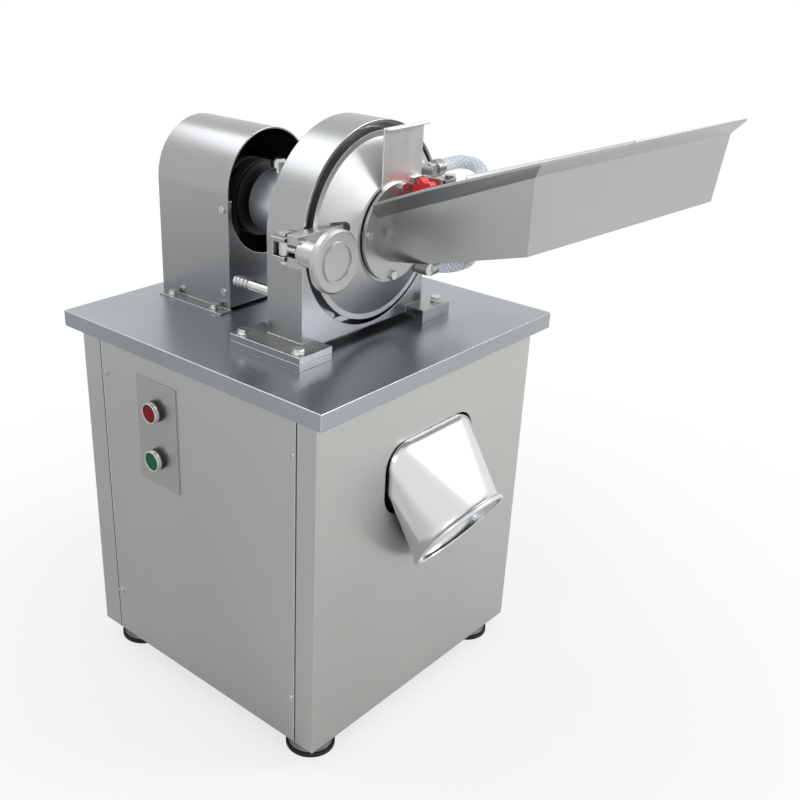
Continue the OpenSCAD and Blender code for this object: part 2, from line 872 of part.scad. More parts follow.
// Grooved pulley about its own axis, from its front face backwards
module pulley(radius, bore)
    difference() {
        rod_y(radius, 0, pulley_width);
        for (place = belt_places)
            ring_y(radius + overrun, radius - belt_height, place - belt_width / 2 - groove_side,
                place + belt_width / 2 + groove_side);
        ring_y(radius - pulley_rim, pulley_hub_radius, -overrun, pulley_dish);
        ring_y(radius - pulley_rim, pulley_hub_radius, pulley_width - pulley_dish, pulley_width + overrun);
        rod_y(bore, -overrun, pulley_width + overrun);
    }

module motor_pulley() placed() color("Black")
    translate([0, pulley_y, motor_height])
        pulley(motor_pulley_radius, motor_shaft_radius);

module spindle_pulley() placed() color("Black")
    translate([0, pulley_y, axis_z])
        pulley(spindle_pulley_radius, spindle_radius);

module terminal_box() placed() color("SlateGray")
    span_box([-terminal_half + 2, terminal_y + 2, motor_height + motor_fin_radius + terminal_pad],
        [terminal_half - 2, terminal_y + terminal_length - 2,
        motor_height + motor_fin_radius + terminal_pad + terminal_height]);

// Outline of a belt's edge at a depth under the pulleys' rims
module belt_outline(depth)
    hull() {
        translate([0, motor_height])
            circle(r = motor_pulley_radius - depth, $fn = fine);
        translate([0, axis_z])
            circle(r = spindle_pulley_radius - depth, $fn = fine);
    }

module drive_belts() placed() color("Black")
    for (place = belt_places)
        slab_y(pulley_y + place - belt_width / 2, pulley_y + place + belt_width / 2)
            difference() {
                belt_outline(belt_sink - belt_height);
                belt_outline(belt_sink);
            }

// Outline of the guard's arch and side walls at an offset inwards
module guard_outline(inset, bottom_z) {
    translate([0, guard_arch_z])
        circle(r = guard_radius - inset, $fn = fine);
    translate([inset - guard_radius, bottom_z])
        square([2 * (guard_radius - inset), guard_arch_z - bottom_z]);
}

module belt_guard() placed() color("Gainsboro")
    difference() {
        union() {
            slab_y(guard_y, guard_rear_y)
                guard_outline(0, table_z);
            span_box([-guard_radius - guard_flange, guard_y - guard_flange_margin_front, table_z],
                [guard_radius + guard_flange, guard_rear_y - guard_flange_margin_rear, table_z + guard_sheet]);
        }
        slab_y(guard_y - overrun, guard_rear_y - guard_sheet)
            guard_outline(guard_sheet, table_z - overrun);
        span_box([-guard_radius + guard_sheet, guard_y - guard_flange_margin_front - overrun, table_z - overrun],
            [guard_radius - guard_sheet, guard_y + overrun, table_z + guard_sheet + overrun]);
        bolt_holes(guard_bolt_places, small_shank_radius, table_z, table_z + guard_sheet);
    }

module guard_front_plate() placed() color("Gainsboro")
    difference() {
        slab_y(guard_y + guard_plate_inset, guard_y + guard_tab)
            guard_outline(guard_sheet + hole_slack, table_z + guard_plate_lift);
        slab_y(guard_y + guard_plate_inset + guard_sheet, guard_y + guard_tab + overrun)
            guard_outline(2 * guard_sheet + hole_slack, table_z);
        rod_y(guard_notch_radius, guard_y, guard_y + guard_tab + overrun, 0, axis_z - guard_notch_drop);
        span_box([-guard_radius, guard_y, axis_z + guard_plate_rise],
            [guard_radius, guard_y + guard_tab + overrun, guard_arch_z + guard_radius]);
    }

module hex_bolts() placed() color("Silver") {
    for (place = foot_bolt_places)
        translate([place[0], place[1], foot_top_z])
            hex_bolt(large_head_radius, large_head_height, large_washer_radius, large_shank_radius,
                foot_top_z - cabinet_height + 4);
    for (place = guard_bolt_places)
        translate([place[0], place[1], table_z + guard_sheet])
            hex_bolt(small_head_radius, small_head_height, small_washer_radius, small_shank_radius,
                guard_sheet + table_sheet + 4);
    for (place = motor_bolt_places())
        translate([place[0], place[1], motor_plate_z + 2 * motor_plate_thickness])
            hex_bolt(large_head_radius, large_head_height, large_washer_radius, large_shank_radius,
                2 * motor_plate_thickness + rail_size);
}

// Spindle and bearings

module bearing_housing() placed() color("LightSlateGray")
    difference() {
        union() {
            rod_y(bearing_housing_radius, drum_back_y, bearing_end_y, 0, axis_z);
            rod_y(housing_flange_radius, drum_back_y, drum_back_y + housing_flange_depth, 0, axis_z);
        }
        rod_y(housing_bore, drum_back_y - overrun, bearing_end_y + overrun, 0, axis_z);
        rod_y(bearing_outer, front_bearing_y, front_bearing_y + bearing_width + touch, 0, axis_z);
        rod_y(bearing_outer, rear_bearing_y - touch, bearing_end_y + overrun, 0, axis_z);
        translate([0, grease_y, axis_z + bearing_housing_radius - grease_seat_depth])
            cylinder(r = grease_stem_radius + hole_slack, h = 2 * grease_seat_depth);
    }

module bearing_caps() placed() color("DimGray") {
    difference() {
        union() {
            rod_y(cap_flange_radius, bearing_end_y, bearing_end_y + cap_flange_depth, 0, axis_z);
            rod_y(bearing_outer - hole_slack, rear_bearing_y + bearing_width, bearing_end_y + overrun, 0, axis_z);
            for (screw = [0 : cap_screw_count - 1])
                rod_y(cap_screw_radius, bearing_end_y, bearing_end_y + cap_flange_depth + cap_screw_height,
                    cap_screw_circle * cos(screw * 360 / cap_screw_count),
                    axis_z + cap_screw_circle * sin(screw * 360 / cap_screw_count), 24);
        }
        rod_y(cap_bore, rear_bearing_y, bearing_end_y + 2 * cap_flange_depth, 0, axis_z);
    }
    ring_y(housing_bore - hole_slack, cap_bore, drum_back_y - back_wall, front_bearing_y, 0, axis_z);
}

// Ball groove about the spindle in the middle of a bearing
module ball_groove()
    rotate([90, 0, 0])
        rotate_extrude($fn = fine)
            translate([ball_circle, 0])
                circle(r = ball_radius + groove_slack);

// Repeats a bearing part at both bearings
module at_bearings()
    for (y = [front_bearing_y, rear_bearing_y])
        translate([0, y + bearing_width / 2, axis_z])
            children();

module bearing_outer_races() placed() color("Silver")
    at_bearings()
        difference() {
            ring_y(bearing_outer, bearing_outer_ring, -bearing_width / 2, bearing_width / 2);
            ball_groove();
        }

module bearing_inner_races() placed() color("Silver")
    at_bearings()
        difference() {
            ring_y(bearing_inner_ring, spindle_radius, -bearing_width / 2, bearing_width / 2);
            ball_groove();
        }

module bearing_balls() placed() color("White")
    at_bearings()
        for (ball = [0 : ball_count - 1])
            rotate([0, ball * 360 / ball_count, 0])
                translate([ball_circle, 0, 0])
                    sphere(r = ball_radius, $fn = 32);

module spindle_shaft() placed() color("Silver")
    rod_y(spindle_radius, spindle_front_y, spindle_end_y, 0, axis_z);

module rotor() placed() color("DarkGray")
    difference() {
        union() {
            rod_y(rotor_hub_radius, rotor_front_y, rotor_back_y, 0, axis_z);
            for (arm = [0 : rotor_arms - 1])
                translate([0, 0, axis_z])
                    rotate([0, arm * 360 / rotor_arms, 0])
                        span_box([-rotor_arm_width / 2, rotor_front_y + rotor_arm_margin, 0],
                            [rotor_arm_width / 2, rotor_back_y - rotor_arm_margin, rotor_radius]);
        }
        rod_y(spindle_radius, rotor_front_y - overrun, rotor_back_y + overrun, 0, axis_z);
    }

module rotor_nut() placed() color("Silver")
    difference() {
        rod_y(nut_radius, rotor_front_y - nut_height, rotor_front_y, 0, axis_z, 6);
        rod_y(spindle_radius, rotor_front_y - nut_height - overrun, rotor_front_y + overrun, 0, axis_z);
    }

grease_foot_z = axis_z + bearing_housing_radius - grease_seat_depth;
grease_thread_z = axis_z + bearing_housing_radius + grease_stem_height;

module grease_cup_body() placed() color("Goldenrod")
    translate([0, grease_y, 0]) {
        translate([0, 0, grease_foot_z])
            cylinder(r = grease_stem_radius, h = grease_thread_z - grease_foot_z);
        translate([0, 0, grease_thread_z])
            cylinder(r = grease_thread_radius, h = grease_thread_height);
    }

module grease_cup_cap() placed() color("Silver")
    translate([0, grease_y, grease_thread_z + touch])
        difference() {
            union() {
                cylinder(r = grease_cap_radius, h = 0.7 * grease_cap_height);
                translate([0, 0, 0.7 * grease_cap_height])
                    cylinder(r1 = grease_cap_radius, r2 = 0.6 * grease_cap_radius, h = 0.3 * grease_cap_height);
            }
            translate([0, 0, -overrun])
                cylinder(r = grease_cap_radius - grease_cap_wall, h = grease_thread_height + overrun);
        }

// Mill housing and chamber

module mill_housing() placed() color("LightGray")
    difference() {
        union() {
            rod_y(drum_radius, drum_y, drum_back_y, 0, axis_z, 128);
            span_box([body_left_x, drum_y, foot_plate_z], [body_right_x, drum_back_y, axis_z]);
            span_box([foot_left_x - foot_plate_width, foot_y, foot_plate_z],
                [foot_left_x, foot_y + foot_plate_length, foot_top_z]);
            span_box([foot_right_x, foot_y, foot_plate_z],
                [foot_right_x + foot_plate_width, foot_y + foot_plate_length, foot_top_z]);
            hinge_ears();
        }
        rod_y(recess_radius, drum_y - overrun, seat_y, 0, axis_z, 128);
        rod_y(chamber_radius, seat_y - overrun, drum_back_y - back_wall, 0, axis_z, 128);
        rod_y(housing_bore, drum_back_y - back_wall - overrun, drum_back_y + overrun, 0, axis_z);
        span_box([-outlet_half, seat_y, foot_plate_z - overrun],
            [outlet_half, drum_back_y - back_wall, axis_z - 0.8 * chamber_radius]);
        for (side = [-1, 1])
            difference() {
                span_box(side < 0 ? [body_left_x + outlet_wall, seat_y + outlet_wall, foot_plate_z - overrun]
                    : [outlet_half + outlet_wall, seat_y + outlet_wall, foot_plate_z - overrun],
                    side < 0 ? [-outlet_half - outlet_wall, drum_back_y - back_wall, axis_z - outlet_half]
                    : [body_right_x - outlet_wall, drum_back_y - back_wall, axis_z - outlet_half]);
                rod_y(pocket_radius, seat_y, drum_back_y, 0, axis_z);
            }
        bolt_holes(foot_bolt_places, large_shank_radius, foot_plate_z, foot_top_z);
        translate([hinge_x, hinge_y, ear_bottom_z - overrun])
            cylinder(r = hinge_pin_radius + slip, h = ear_top_z - ear_bottom_z + 2 * overrun);
    }

// Ears on the drum's right side that carry the hinge pin
module hinge_ears()
    difference() {
        for (z = [ear_bottom_z, ear_top_z - ear_height]) {
            span_box([hinge_x - 30, hinge_y - knuckle_radius, z], [hinge_x, hinge_y + 23, z + ear_height]);
            translate([hinge_x, hinge_y, z])
                cylinder(r = knuckle_radius, h = ear_height);
        }
        rod_y(recess_radius + 0.5, drum_y - 2 * knuckle_radius, drum_back_y, 0, axis_z, 128);
    }

module riser_plates() placed() color("DarkGray")
    difference() {
        for (x = [foot_left_x - foot_plate_width, foot_right_x])
            span_box([x, foot_y, table_z], [x + foot_plate_width, foot_y + foot_plate_length, foot_plate_z]);
        bolt_holes(foot_bolt_places, large_shank_radius, table_z, foot_plate_z);
    }

// Wedge about the spindle between two angles from straight down
module wedge(angle_from, angle_to, reach)
    polygon(concat([[0, 0]], [for (step = [0 : 6])
        let (angle = 270 + angle_from + (angle_to - angle_from) * step / 6)
        [reach * cos(angle), reach * sin(angle)]]));

module screen_ring() placed() color("Silver")
    translate([0, 0, axis_z])
        difference() {
            intersection() {
                ring_y(screen_radius, screen_radius - screen_sheet, seat_y + 2, drum_back_y - back_wall - 1);
                slab_y(seat_y, drum_back_y)
                    wedge(-screen_angle / 2, screen_angle / 2, 2 * screen_radius);
            }
            for (column = [0 : screen_hole_columns - 1], row = [0 : screen_hole_rows - 1])
                rotate([0, (column - (screen_hole_columns - 1) / 2) * 0.85 * screen_angle / screen_hole_columns, 0])
                    translate([0, seat_y + 10 + row * (drum_depth - 34) / screen_hole_rows, -screen_radius - overrun])
                        cylinder(r = screen_hole_radius, h = screen_sheet + 2 * overrun, $fn = 24);
        }

module grinding_insert() placed() color("DarkGray")
    translate([0, 0, axis_z])
        difference() {
            ring_y(chamber_radius - touch, chamber_radius - insert_ring, seat_y + touch,
                drum_back_y - back_wall - touch);
            slab_y(seat_y - overrun, drum_back_y + overrun)
                wedge(-screen_angle / 2 - 1, screen_angle / 2 + 1, 2 * chamber_radius);
            for (tooth = [0 : insert_teeth - 1])
                rotate([0, (tooth + 0.5) * 360 / insert_teeth, 0])
                    translate([-insert_depth / 2, seat_y - overrun, chamber_radius - insert_ring - overrun])
                        cube([insert_depth, drum_depth, insert_depth + overrun]);
        }

// Door

module mill_door() placed() color("LightGray")
    difference() {
        union() {
            translate([0, 0, axis_z])
                rotate([90, 0, 0])
                    rotate_extrude($fn = 128)
                        polygon([[0, -door_back_y], [door_radius, -door_back_y], [door_radius, -door_rim_y],
                            [door_radius - door_lip, -door_rim_y], [door_ring_radius, -door_nose_y],
                            [door_ring_radius, -ring_y], [0, -ring_y]]);
            span_box([door_radius - 14, hinge_y - knuckle_radius, axis_z - knuckle_half],
                [hinge_x, drum_y - 1, axis_z + knuckle_half]);
            translate([hinge_x, hinge_y, axis_z - knuckle_half])
                cylinder(r = knuckle_radius, h = 2 * knuckle_half);
        }
        rod_y(inlet_radius, ring_y - overrun, door_back_y + overrun, 0, inlet_z);
        rod_y(liner_radius + touch, door_back_y - liner_thickness, door_back_y + overrun, 0, axis_z);
        span_box([-door_radius, fork_y - overrun, clamp_z - fork_half], [fork_root_x, fork_back_y, clamp_z + fork_half]);
        translate([hinge_x, hinge_y, axis_z - knuckle_half - overrun])
            cylinder(r = hinge_pin_radius + slip, h = 2 * knuckle_half + 2 * overrun);
        for (level = fitting_levels)
            rod_y(fitting_radius + hole_slack, fitting_y, fitting_start_y, fitting_x, axis_z + level);
        for (bolt = [1 : flange_bolt_count - 1])
            rod_y(small_shank_radius + hole_slack, ring_y - overrun, door_nose_y + 8, bolt_x(bolt), bolt_z(bolt));
        translate([arm_slot_x, 0, arm_slot_z])
            slab_y(door_nose_y - overrun, door_rim_y - arm_slot_depth)
                polygon(rounded_points(arm_slot_length + 2 * arm_slot_radius, 2 * arm_slot_radius,
                    0.95 * arm_slot_radius));
    }

// Forked arm that stands in a pocket of the door
module door_fork() placed() color("Silver")
    difference() {
        span_box([clamp_x - fork_end, fork_y, clamp_z - fork_half], [fork_root_x, fork_back_y, clamp_z + fork_half]);
        span_box([clamp_x - fork_end - overrun, fork_y - overrun, clamp_z - fork_slot_half],
            [clamp_x + fork_slot_end, fork_back_y + overrun, clamp_z + fork_slot_half]);
    }

module door_liner() placed() color("DarkGray")
    difference() {
        union() {
            rod_y(liner_radius, door_back_y - liner_thickness, door_back_y, 0, axis_z);
            for (rib = [0 : liner_ribs - 1])
                translate([0, 0, axis_z])
                    rotate([0, rib * 360 / liner_ribs, 0])
                        span_box([-liner_rib_width / 2, door_back_y - overrun, liner_rib_inner],
                            [liner_rib_width / 2, door_back_y + liner_rib_height, liner_rib_outer]);
        }
        rod_y(inlet_radius, ring_y, door_back_y + 2 * liner_rib_height, 0, inlet_z);
    }

module door_gasket() placed() color("White")
    ring_y(door_radius - 1, chamber_radius + 1, door_back_y, door_back_y + gasket_thickness, 0, axis_z);

module hinge_pin() placed() color("Silver")
    translate([hinge_x, hinge_y, ear_bottom_z - 2]) {
        cylinder(r = hinge_pin_radius, h = ear_top_z - ear_bottom_z + 3);
        translate([0, 0, ear_top_z - ear_bottom_z + 2])
            cylinder(r = hinge_head_radius, h = hinge_head_height);
    }

// Clamp

module clamp_bracket() placed() color("Gray")
    translate([0, 0, clamp_z])
        difference() {
            span_box([clamp_x - bracket_reach, bracket_front_y, -bracket_half],
                [body_left_x, bracket_rear_y, bracket_half]);
            span_box([clamp_x - bracket_reach - overrun, bracket_front_y - overrun, -bracket_half + bracket_sheet],
                [body_left_x - bracket_sheet, bracket_rear_y - bracket_sheet, bracket_half - bracket_sheet]);
            translate([clamp_x, clamp_pin_y, -bracket_half - overrun])
                cylinder(r = clamp_pin_radius + slip, h = 2 * bracket_half + 2 * overrun);
            rod_y(drum_radius + slip, bracket_front_y - overrun, bracket_rear_y + overrun, 0, axis_z - clamp_z, 128);
        }

module clamp_pin() placed() color("Silver")
    translate([clamp_x, clamp_pin_y, clamp_z]) {
        translate([0, 0, -bracket_half - pin_over - pin_head_height / 2])
            cylinder(r = clamp_pin_radius, h = 2 * bracket_half + pin_over + pin_head_height / 2 + overrun);
        translate([-pin_head / 2, -pin_head / 2, bracket_half])
            cube([pin_head, pin_head, pin_head_height]);
        translate([0, 0, -bracket_half - pin_head_height])
            cylinder(r = 0.6 * pin_head, h = pin_head_height, $fn = 6);
    }

module swing_bolt() placed() color("Silver")
    translate([clamp_x, 0, clamp_z])
        difference() {
            union() {
                translate([0, clamp_pin_y, -eye_half])
                    cylinder(r = eye_radius, h = 2 * eye_half);
                rod_y(bolt_radius, bolt_end_y, clamp_pin_y);
            }
            translate([0, clamp_pin_y, -eye_half - overrun])
                cylinder(r = clamp_pin_radius + slip, h = 2 * eye_half + 2 * overrun);
        }

// Hand wheel, hub, washer and spigot turned about the bolt's axis
module clamp_knob() placed() color("Black")
    translate([clamp_x, fork_y + spigot_length - touch, clamp_z])
        rotate([90, 0, 0])
            rotate_extrude($fn = fine)
                polygon([
                    [0, 0],
                    [spigot_radius, 0],
                    [spigot_radius, spigot_length],
                    [washer_radius, spigot_length],
                    [washer_radius, spigot_length + washer_depth],
                    [groove_radius, spigot_length + washer_depth],
                    [groove_radius, spigot_length + washer_depth + groove_depth],
                    [hub_radius, spigot_length + washer_depth + groove_depth],
                    [hub_radius, wheel_base],
                    [wheel_radius - wheel_edge, wheel_base],
                    [wheel_radius, wheel_base + wheel_edge],
                    [wheel_radius, wheel_base + wheel_thickness - wheel_edge],
                    [wheel_radius - wheel_edge, wheel_base + wheel_thickness],
                    [wheel_ring_radius + wheel_ring_width, wheel_base + wheel_thickness],
                    [wheel_ring_radius + wheel_ring_width, wheel_base + wheel_thickness + wheel_ring_height],
                    [wheel_ring_radius, wheel_base + wheel_thickness + wheel_ring_height],
                    [wheel_ring_radius, wheel_base + wheel_thickness],
                    [0, wheel_base + wheel_thickness]
                ]);

wheel_base = spigot_length + washer_depth + groove_depth + hub_length;

// Feed flange, gate and tray

// Place of a bolt on the flange's circle
function bolt_x(bolt) = flange_bolt_circle * cos(flange_bolt_start + bolt * 360 / flange_bolt_count);
function bolt_z(bolt) = axis_z + flange_bolt_circle * sin(flange_bolt_start + bolt * 360 / flange_bolt_count);

module feed_flange() placed() color("Silver")
    difference() {
        union() {
            rod_y(flange_radius, plate_y, plate_back_y, 0, axis_z);
            span_box([star_ear_x - star_tab, plate_y, axis_z + star_tab_rise],
                [star_ear_x + star_ear_sheet, plate_back_y, star_z + star_ear_half]);
            span_box([star_ear_x, star_y - star_ear_half, star_z - star_ear_half],
                [star_ear_x + star_ear_sheet, plate_y + overrun, star_z + star_ear_half]);
            difference() {
                rod_y(spacer_radius, plate_back_y - overrun, ring_y, 0, axis_z);
                span_box([gate_left_x - touch, plate_back_y, inlet_z - inlet_radius - touch],
                    [spacer_radius + overrun, ring_y + overrun, axis_z + spacer_radius + overrun]);
            }
        }
        rod_y(inlet_radius, plate_y - overrun, ring_y + overrun, 0, inlet_z);
        rod_x(star_screw_radius + slip, star_ear_x - overrun, star_ear_x + star_ear_sheet + overrun, star_y, star_z);
        for (bolt = [0 : flange_bolt_count - 1])
            rod_y(small_shank_radius + hole_slack, plate_y - overrun, ring_y + overrun, bolt_x(bolt), bolt_z(bolt));
    }

module flange_bolts() placed() color("Silver")
    for (bolt = [0 : flange_bolt_count - 1])
        translate([bolt_x(bolt), 0, bolt_z(bolt)]) {
            rod_y(small_head_radius, plate_y - small_head_height, plate_y, 0, 0, 6);
            rod_y(small_shank_radius, plate_y - small_head_height / 2,
                bolt == 0 ? plate_back_y - touch : door_nose_y + 6, 0, 0, round_fine);
        }

// Height of the tray's floor and of its rim at a place
function floor_z(x, y) = floor_front_left_z - floor_pitch * (y - tray_front_y)
    - (floor_front_left_z - floor_front_right_z) * (x - tray_left_x) / tray_length;
function rim_z(x, y) = rim_front_left_z - rim_pitch * (y - tray_front_y)
    - (rim_front_left_z - rim_front_right_z) * (x - tray_left_x) / tray_length;

// Closed solid between a lower and an upper loop of four places, in triangles
module four_sided(lower, upper)
    polyhedron(
        points = concat(lower, upper),
        faces = [[0, 1, 2], [0, 2, 3], [4, 6, 5], [4, 7, 6], [0, 4, 5], [0, 5, 1], [1, 5, 6], [1, 6, 2],
            [2, 6, 7], [2, 7, 3], [3, 7, 4], [3, 4, 0]]
    );

// Solid of the long part of the tray, drawn in by a wall on every side, its top at the rim or over it
module tray_block(wall, over)
    let (x0 = tray_left_x + wall, x1 = tray_right_x - wall, y0 = tray_front_y + wall, y1 = tray_back_y - wall,
        xb = x1 - tray_end_slant)
    four_sided(
        [[x0, y0, floor_z(x0, y0) + wall], [xb, y0, floor_z(xb, y0) + wall],
            [xb, y1, floor_z(xb, y1) + wall], [x0, y1, floor_z(x0, y1) + wall]],
        [[x0, y0, rim_z(x0, y0) + over], [x1, y0, rim_z(x1, y0) + over],
            [x1, y1, rim_z(x1, y1) + over], [x0, y1, rim_z(x0, y1) + over]]
    );

// Solid of the trough between the flange and the long part, drawn in by a wall
module trough_block(wall, over)
    hull() {
        trough_section(trough_radius - wall, plate_y - tray_plate * (wall > 0 ? 1 : 0), rim_flange_z + over);
        span_box([tray_left_x + wall, tray_back_y - tray_sheet, floor_z(tray_left_x, tray_back_y) + wall],
            [-tray_left_x - wall, tray_back_y, rim_z(tray_left_x, tray_back_y) + over]);
    }

// Thin slice of the trough at the flange: round below, straight above
module trough_section(radius, y, top_z) {
    rod_y(radius, y - tray_sheet, y, 0, axis_z, 32);
    span_box([-radius, y - tray_sheet, axis_z], [radius, y, top_z]);
}

// Section of the flared lip at a place of the rim, with its outward way
function lip_ring(x, y, z, way) =
    let (inner = [x, y, z - lip_seat] - tray_sheet / 2 * [way[0], way[1], lip_rise / lip_reach],
        outer = [x, y, z - lip_seat] + [way[0] * lip_reach, way[1] * lip_reach, lip_rise],
        down = [0, 0, -lip_drop_share * tray_sheet])
    [inner, outer, outer + down, inner + down];

module tray_lips()
    loft([
        lip_ring(-trough_radius, plate_y - tray_sheet, rim_flange_z, [-1, 0]),
        lip_ring(tray_left_x, tray_back_y, rim_z(tray_left_x, tray_back_y), [-1, 0]),
        lip_ring(tray_left_x, tray_front_y, rim_z(tray_left_x, tray_front_y), [-1, -1]),
        lip_ring(tray_right_x, tray_front_y, rim_z(tray_right_x, tray_front_y), [1, -1]),
        lip_ring(tray_right_x, tray_back_y, rim_z(tray_right_x, tray_back_y), [1, 1]),
        lip_ring(-tray_left_x, tray_back_y, rim_z(-tray_left_x, tray_back_y), [0, 1])
    ]);

module feed_tray() placed() color("LightSteelBlue") {
    difference() {
        union() {
            tray_block(0, 0);
            trough_block(0, 0);
        }
        tray_block(tray_sheet, lip_rise);
        trough_block(tray_sheet, lip_rise);
        rod_y(inlet_radius, plate_y - 2 * tray_plate, plate_y + overrun, 0, inlet_z);
    }
    tray_lips();
}

module feed_gate() placed() color("Silver") {
    span_box([gate_left_x, gate_y, gate_bottom_z], [gate_right_x, gate_y + gate_sheet, gate_top_z]);
    span_box([gate_left_x, gate_y - gate_lip, gate_top_z - gate_sheet], [gate_right_x, gate_y + gate_sheet, gate_top_z]);
}

module gate_knob() placed() color("Red")
    translate([0, star_y, star_z]) {
        rod_x(star_radius - star_lobe_radius, star_x, star_x + star_thickness);
        for (lobe = [0 : star_lobes - 1])
            rod_x(star_lobe_radius, star_x, star_x + star_thickness,
                (star_radius - star_lobe_radius) * cos(lobe * 360 / star_lobes),
                (star_radius - star_lobe_radius) * sin(lobe * 360 / star_lobes), 24);
        rod_x(2 * star_screw_radius, star_x + star_thickness, star_ear_x - touch);
        rod_x(star_screw_radius, star_x + star_thickness, star_ear_x + star_ear_sheet + 2);
    }

// Water pipe work

module water_inlet_barb() placed() color("Silver")
    translate([inlet_pipe_x, 0, inlet_pipe_z])
        difference() {
            union() {
                rod_y(inlet_pipe_radius, drum_back_y, drum_back_y + inlet_pipe_length, sides = round_fine);
                rod_y(inlet_nut_radius, drum_back_y, drum_back_y + inlet_nut_length, sides = 6);
                for (barb = [1 : barb_count])
                    translate([0, drum_back_y + inlet_pipe_length - (barb - 1) * 1.4 * barb_length, 0])
                        rotate([90, 0, 0])
                            cylinder(r1 = inlet_pipe_radius - overrun / 2, r2 = inlet_pipe_radius + barb_rise,
                                h = barb_length);
            }
            rod_y(inlet_pipe_bore, drum_back_y + inlet_nut_length, drum_back_y + inlet_pipe_length + overrun,
                sides = round_fine);
        }

module door_fittings() placed() color("Gray")
    for (level = fitting_levels)
        translate([fitting_x, 0, axis_z + level]) {
            rod_y(fitting_radius, fitting_y - fitting_radius, fitting_start_y - touch);
            rod_x(fitting_radius, 0, fitting_reach, fitting_y);
            rod_x(fitting_nut_radius, fitting_reach - fitting_nut_length, fitting_reach, fitting_y);
            for (rib = [0 : fitting_ribs - 1])
                rod_x(fitting_nut_radius + 1, fitting_reach - (rib + 0.75) * fitting_nut_length / fitting_ribs,
                    fitting_reach - (rib + 0.25) * fitting_nut_length / fitting_ribs, fitting_y);
        }

// Point on the smooth curve through the route, a whole number at each route point
function route_point(route, t) =
    let (last = len(route) - 1,
        i = min(floor(t), last - 1),
        u = t - i,
        a = route[max(i - 1, 0)],
        b = route[i],
        c = route[i + 1],
        d = route[min(i + 2, last)])
    0.5 * (2 * b + (c - a) * u + (2 * a - 5 * b + 4 * c - d) * u * u + (3 * b - a - 3 * c + d) * u * u * u);

function unit(v) = v / norm(v);

// Ring of points about the curve at a place, square to the curve
function route_ring(route, t, radius, sides) =
    let (last = len(route) - 1,
        before = route_point(route, max(t - 0.1, 0)),
        after = route_point(route, min(t + 0.1, last)),
        ahead = t <= 0 ? [1, 0, 0] : (t >= last ? [-1, 0, 0] : unit(after - before)),
        side = unit(cross(ahead, [0, 1, 0])),
        up = cross(side, ahead))
    [for (k = [0 : sides - 1])
        route_point(route, t) + radius * (cos(k * 360 / sides) * side + sin(k * 360 / sides) * up)];

// Tube swept along a route
module swept_tube(route, radius, steps, sides)
    loft([for (ring = [0 : (len(route) - 1) * steps]) route_ring(route, ring / steps, radius, sides)]);

module water_hose() placed() color("White")
    translate([0, 0, axis_z])
        swept_tube(hose_route, hose_radius, hose_steps, hose_sides);

// Discharge

// Places a child at the mouth's centre with its +Z along the way out
module at_mouth()
    translate([0, mouth_y, mouth_z])
        rotate([90 + mouth_tilt, 0, 0])
            children();

// Outline about a centre, standing across -Y and tipped towards the floor by a tilt
function duct_ring(centre, tilt, outline) = [for (p = outline)
    centre + [p[0], -p[1] * sin(tilt), p[1] * cos(tilt)]];

// Outline of the duct's upright part, drawn in by a wall
function duct_outline(wall) =
    rounded_points(spout_width - 2 * wall, spout_height - 2 * wall, spout_corner - wall);

// Chute from under the chamber to the spout, drawn in by a wall and longer at both ends by a reach
module chute_solid(wall, reach)
    let (length = chute_back_y - chute_front_y,
        middle_y = (chute_front_y + chute_back_y) / 2,
        top = rounded_points(2 * (chute_half - wall), length - 2 * wall, chute_corner - wall))
    loft([
        duct_ring([0, middle_y, cabinet_height + reach], 90, top),
        duct_ring([0, duct_inner_y - reach, spout_level], 0, duct_outline(wall))
    ]);

// Spout from the chute to the mouth's collar, drawn in by a wall
module spout_solid(wall, reach, end_radius)
    let (mouth = rounded_points(2 * end_radius, 2 * end_radius, round_share * end_radius),
        way_in = [0, cos(mouth_tilt), sin(mouth_tilt)] * (collar_length - collar_lap))
    loft([
        duct_ring([0, duct_inner_y + reach, spout_level], 0, duct_outline(wall)),
        duct_ring([0, -half_y - duct_nose, spout_level], 0, duct_outline(wall)),
        duct_ring([0, mouth_y, mouth_z] + way_in, mouth_tilt, mouth)
    ]);

module discharge_chute() placed() color("LightGray")
    difference() {
        chute_solid(0, 0);
        chute_solid(duct_sheet, touch);
    }

module discharge_spout() placed() color("LightGray")
    difference() {
        union() {
            spout_solid(0, 0, mouth_radius + duct_sheet / 2);
            at_mouth() {
                translate([0, 0, -collar_length])
                    cylinder(r = mouth_radius + duct_sheet, h = collar_length, $fn = fine);
                translate([0, 0, -bead_radius])
                    cylinder(r = mouth_radius + bead_radius + bead_proud, h = bead_radius, $fn = fine);
            }
        }
        spout_solid(duct_sheet, overrun, mouth_radius - duct_sheet / 4);
        at_mouth()
            translate([0, 0, -collar_length + collar_lap / 2])
                cylinder(r = mouth_radius, h = collar_length + overrun, $fn = fine);
    }

base_frame();
front_panel();
rear_panel();
left_panel();
right_panel();
panel_screws();
table_top();
levelling_feet();
foot_pads();
button_plate();
button_bodies();
stop_button_cap();
start_button_cap();
cable_gland();
motor_plate();
motor_body();
motor_end_shields();
motor_fan_cover();
motor_fan();
motor_shaft();
motor_pulley();
terminal_box();
drive_belts();
spindle_pulley();
belt_guard();
guard_front_plate();
hex_bolts();
bearing_housing();
bearing_caps();
bearing_outer_races();
bearing_inner_races();
bearing_balls();
spindle_shaft();
rotor();
rotor_nut();
grease_cup_body();
grease_cup_cap();
mill_housing();
riser_plates();
screen_ring();
grinding_insert();
mill_door();
door_fork();
door_liner();
door_gasket();
hinge_pin();
clamp_bracket();
clamp_pin();
swing_bolt();
clamp_knob();
feed_flange();
flange_bolts();
feed_tray();
feed_gate();
gate_knob();
water_inlet_barb();
door_fittings();
water_hose();
discharge_chute();
discharge_spout();
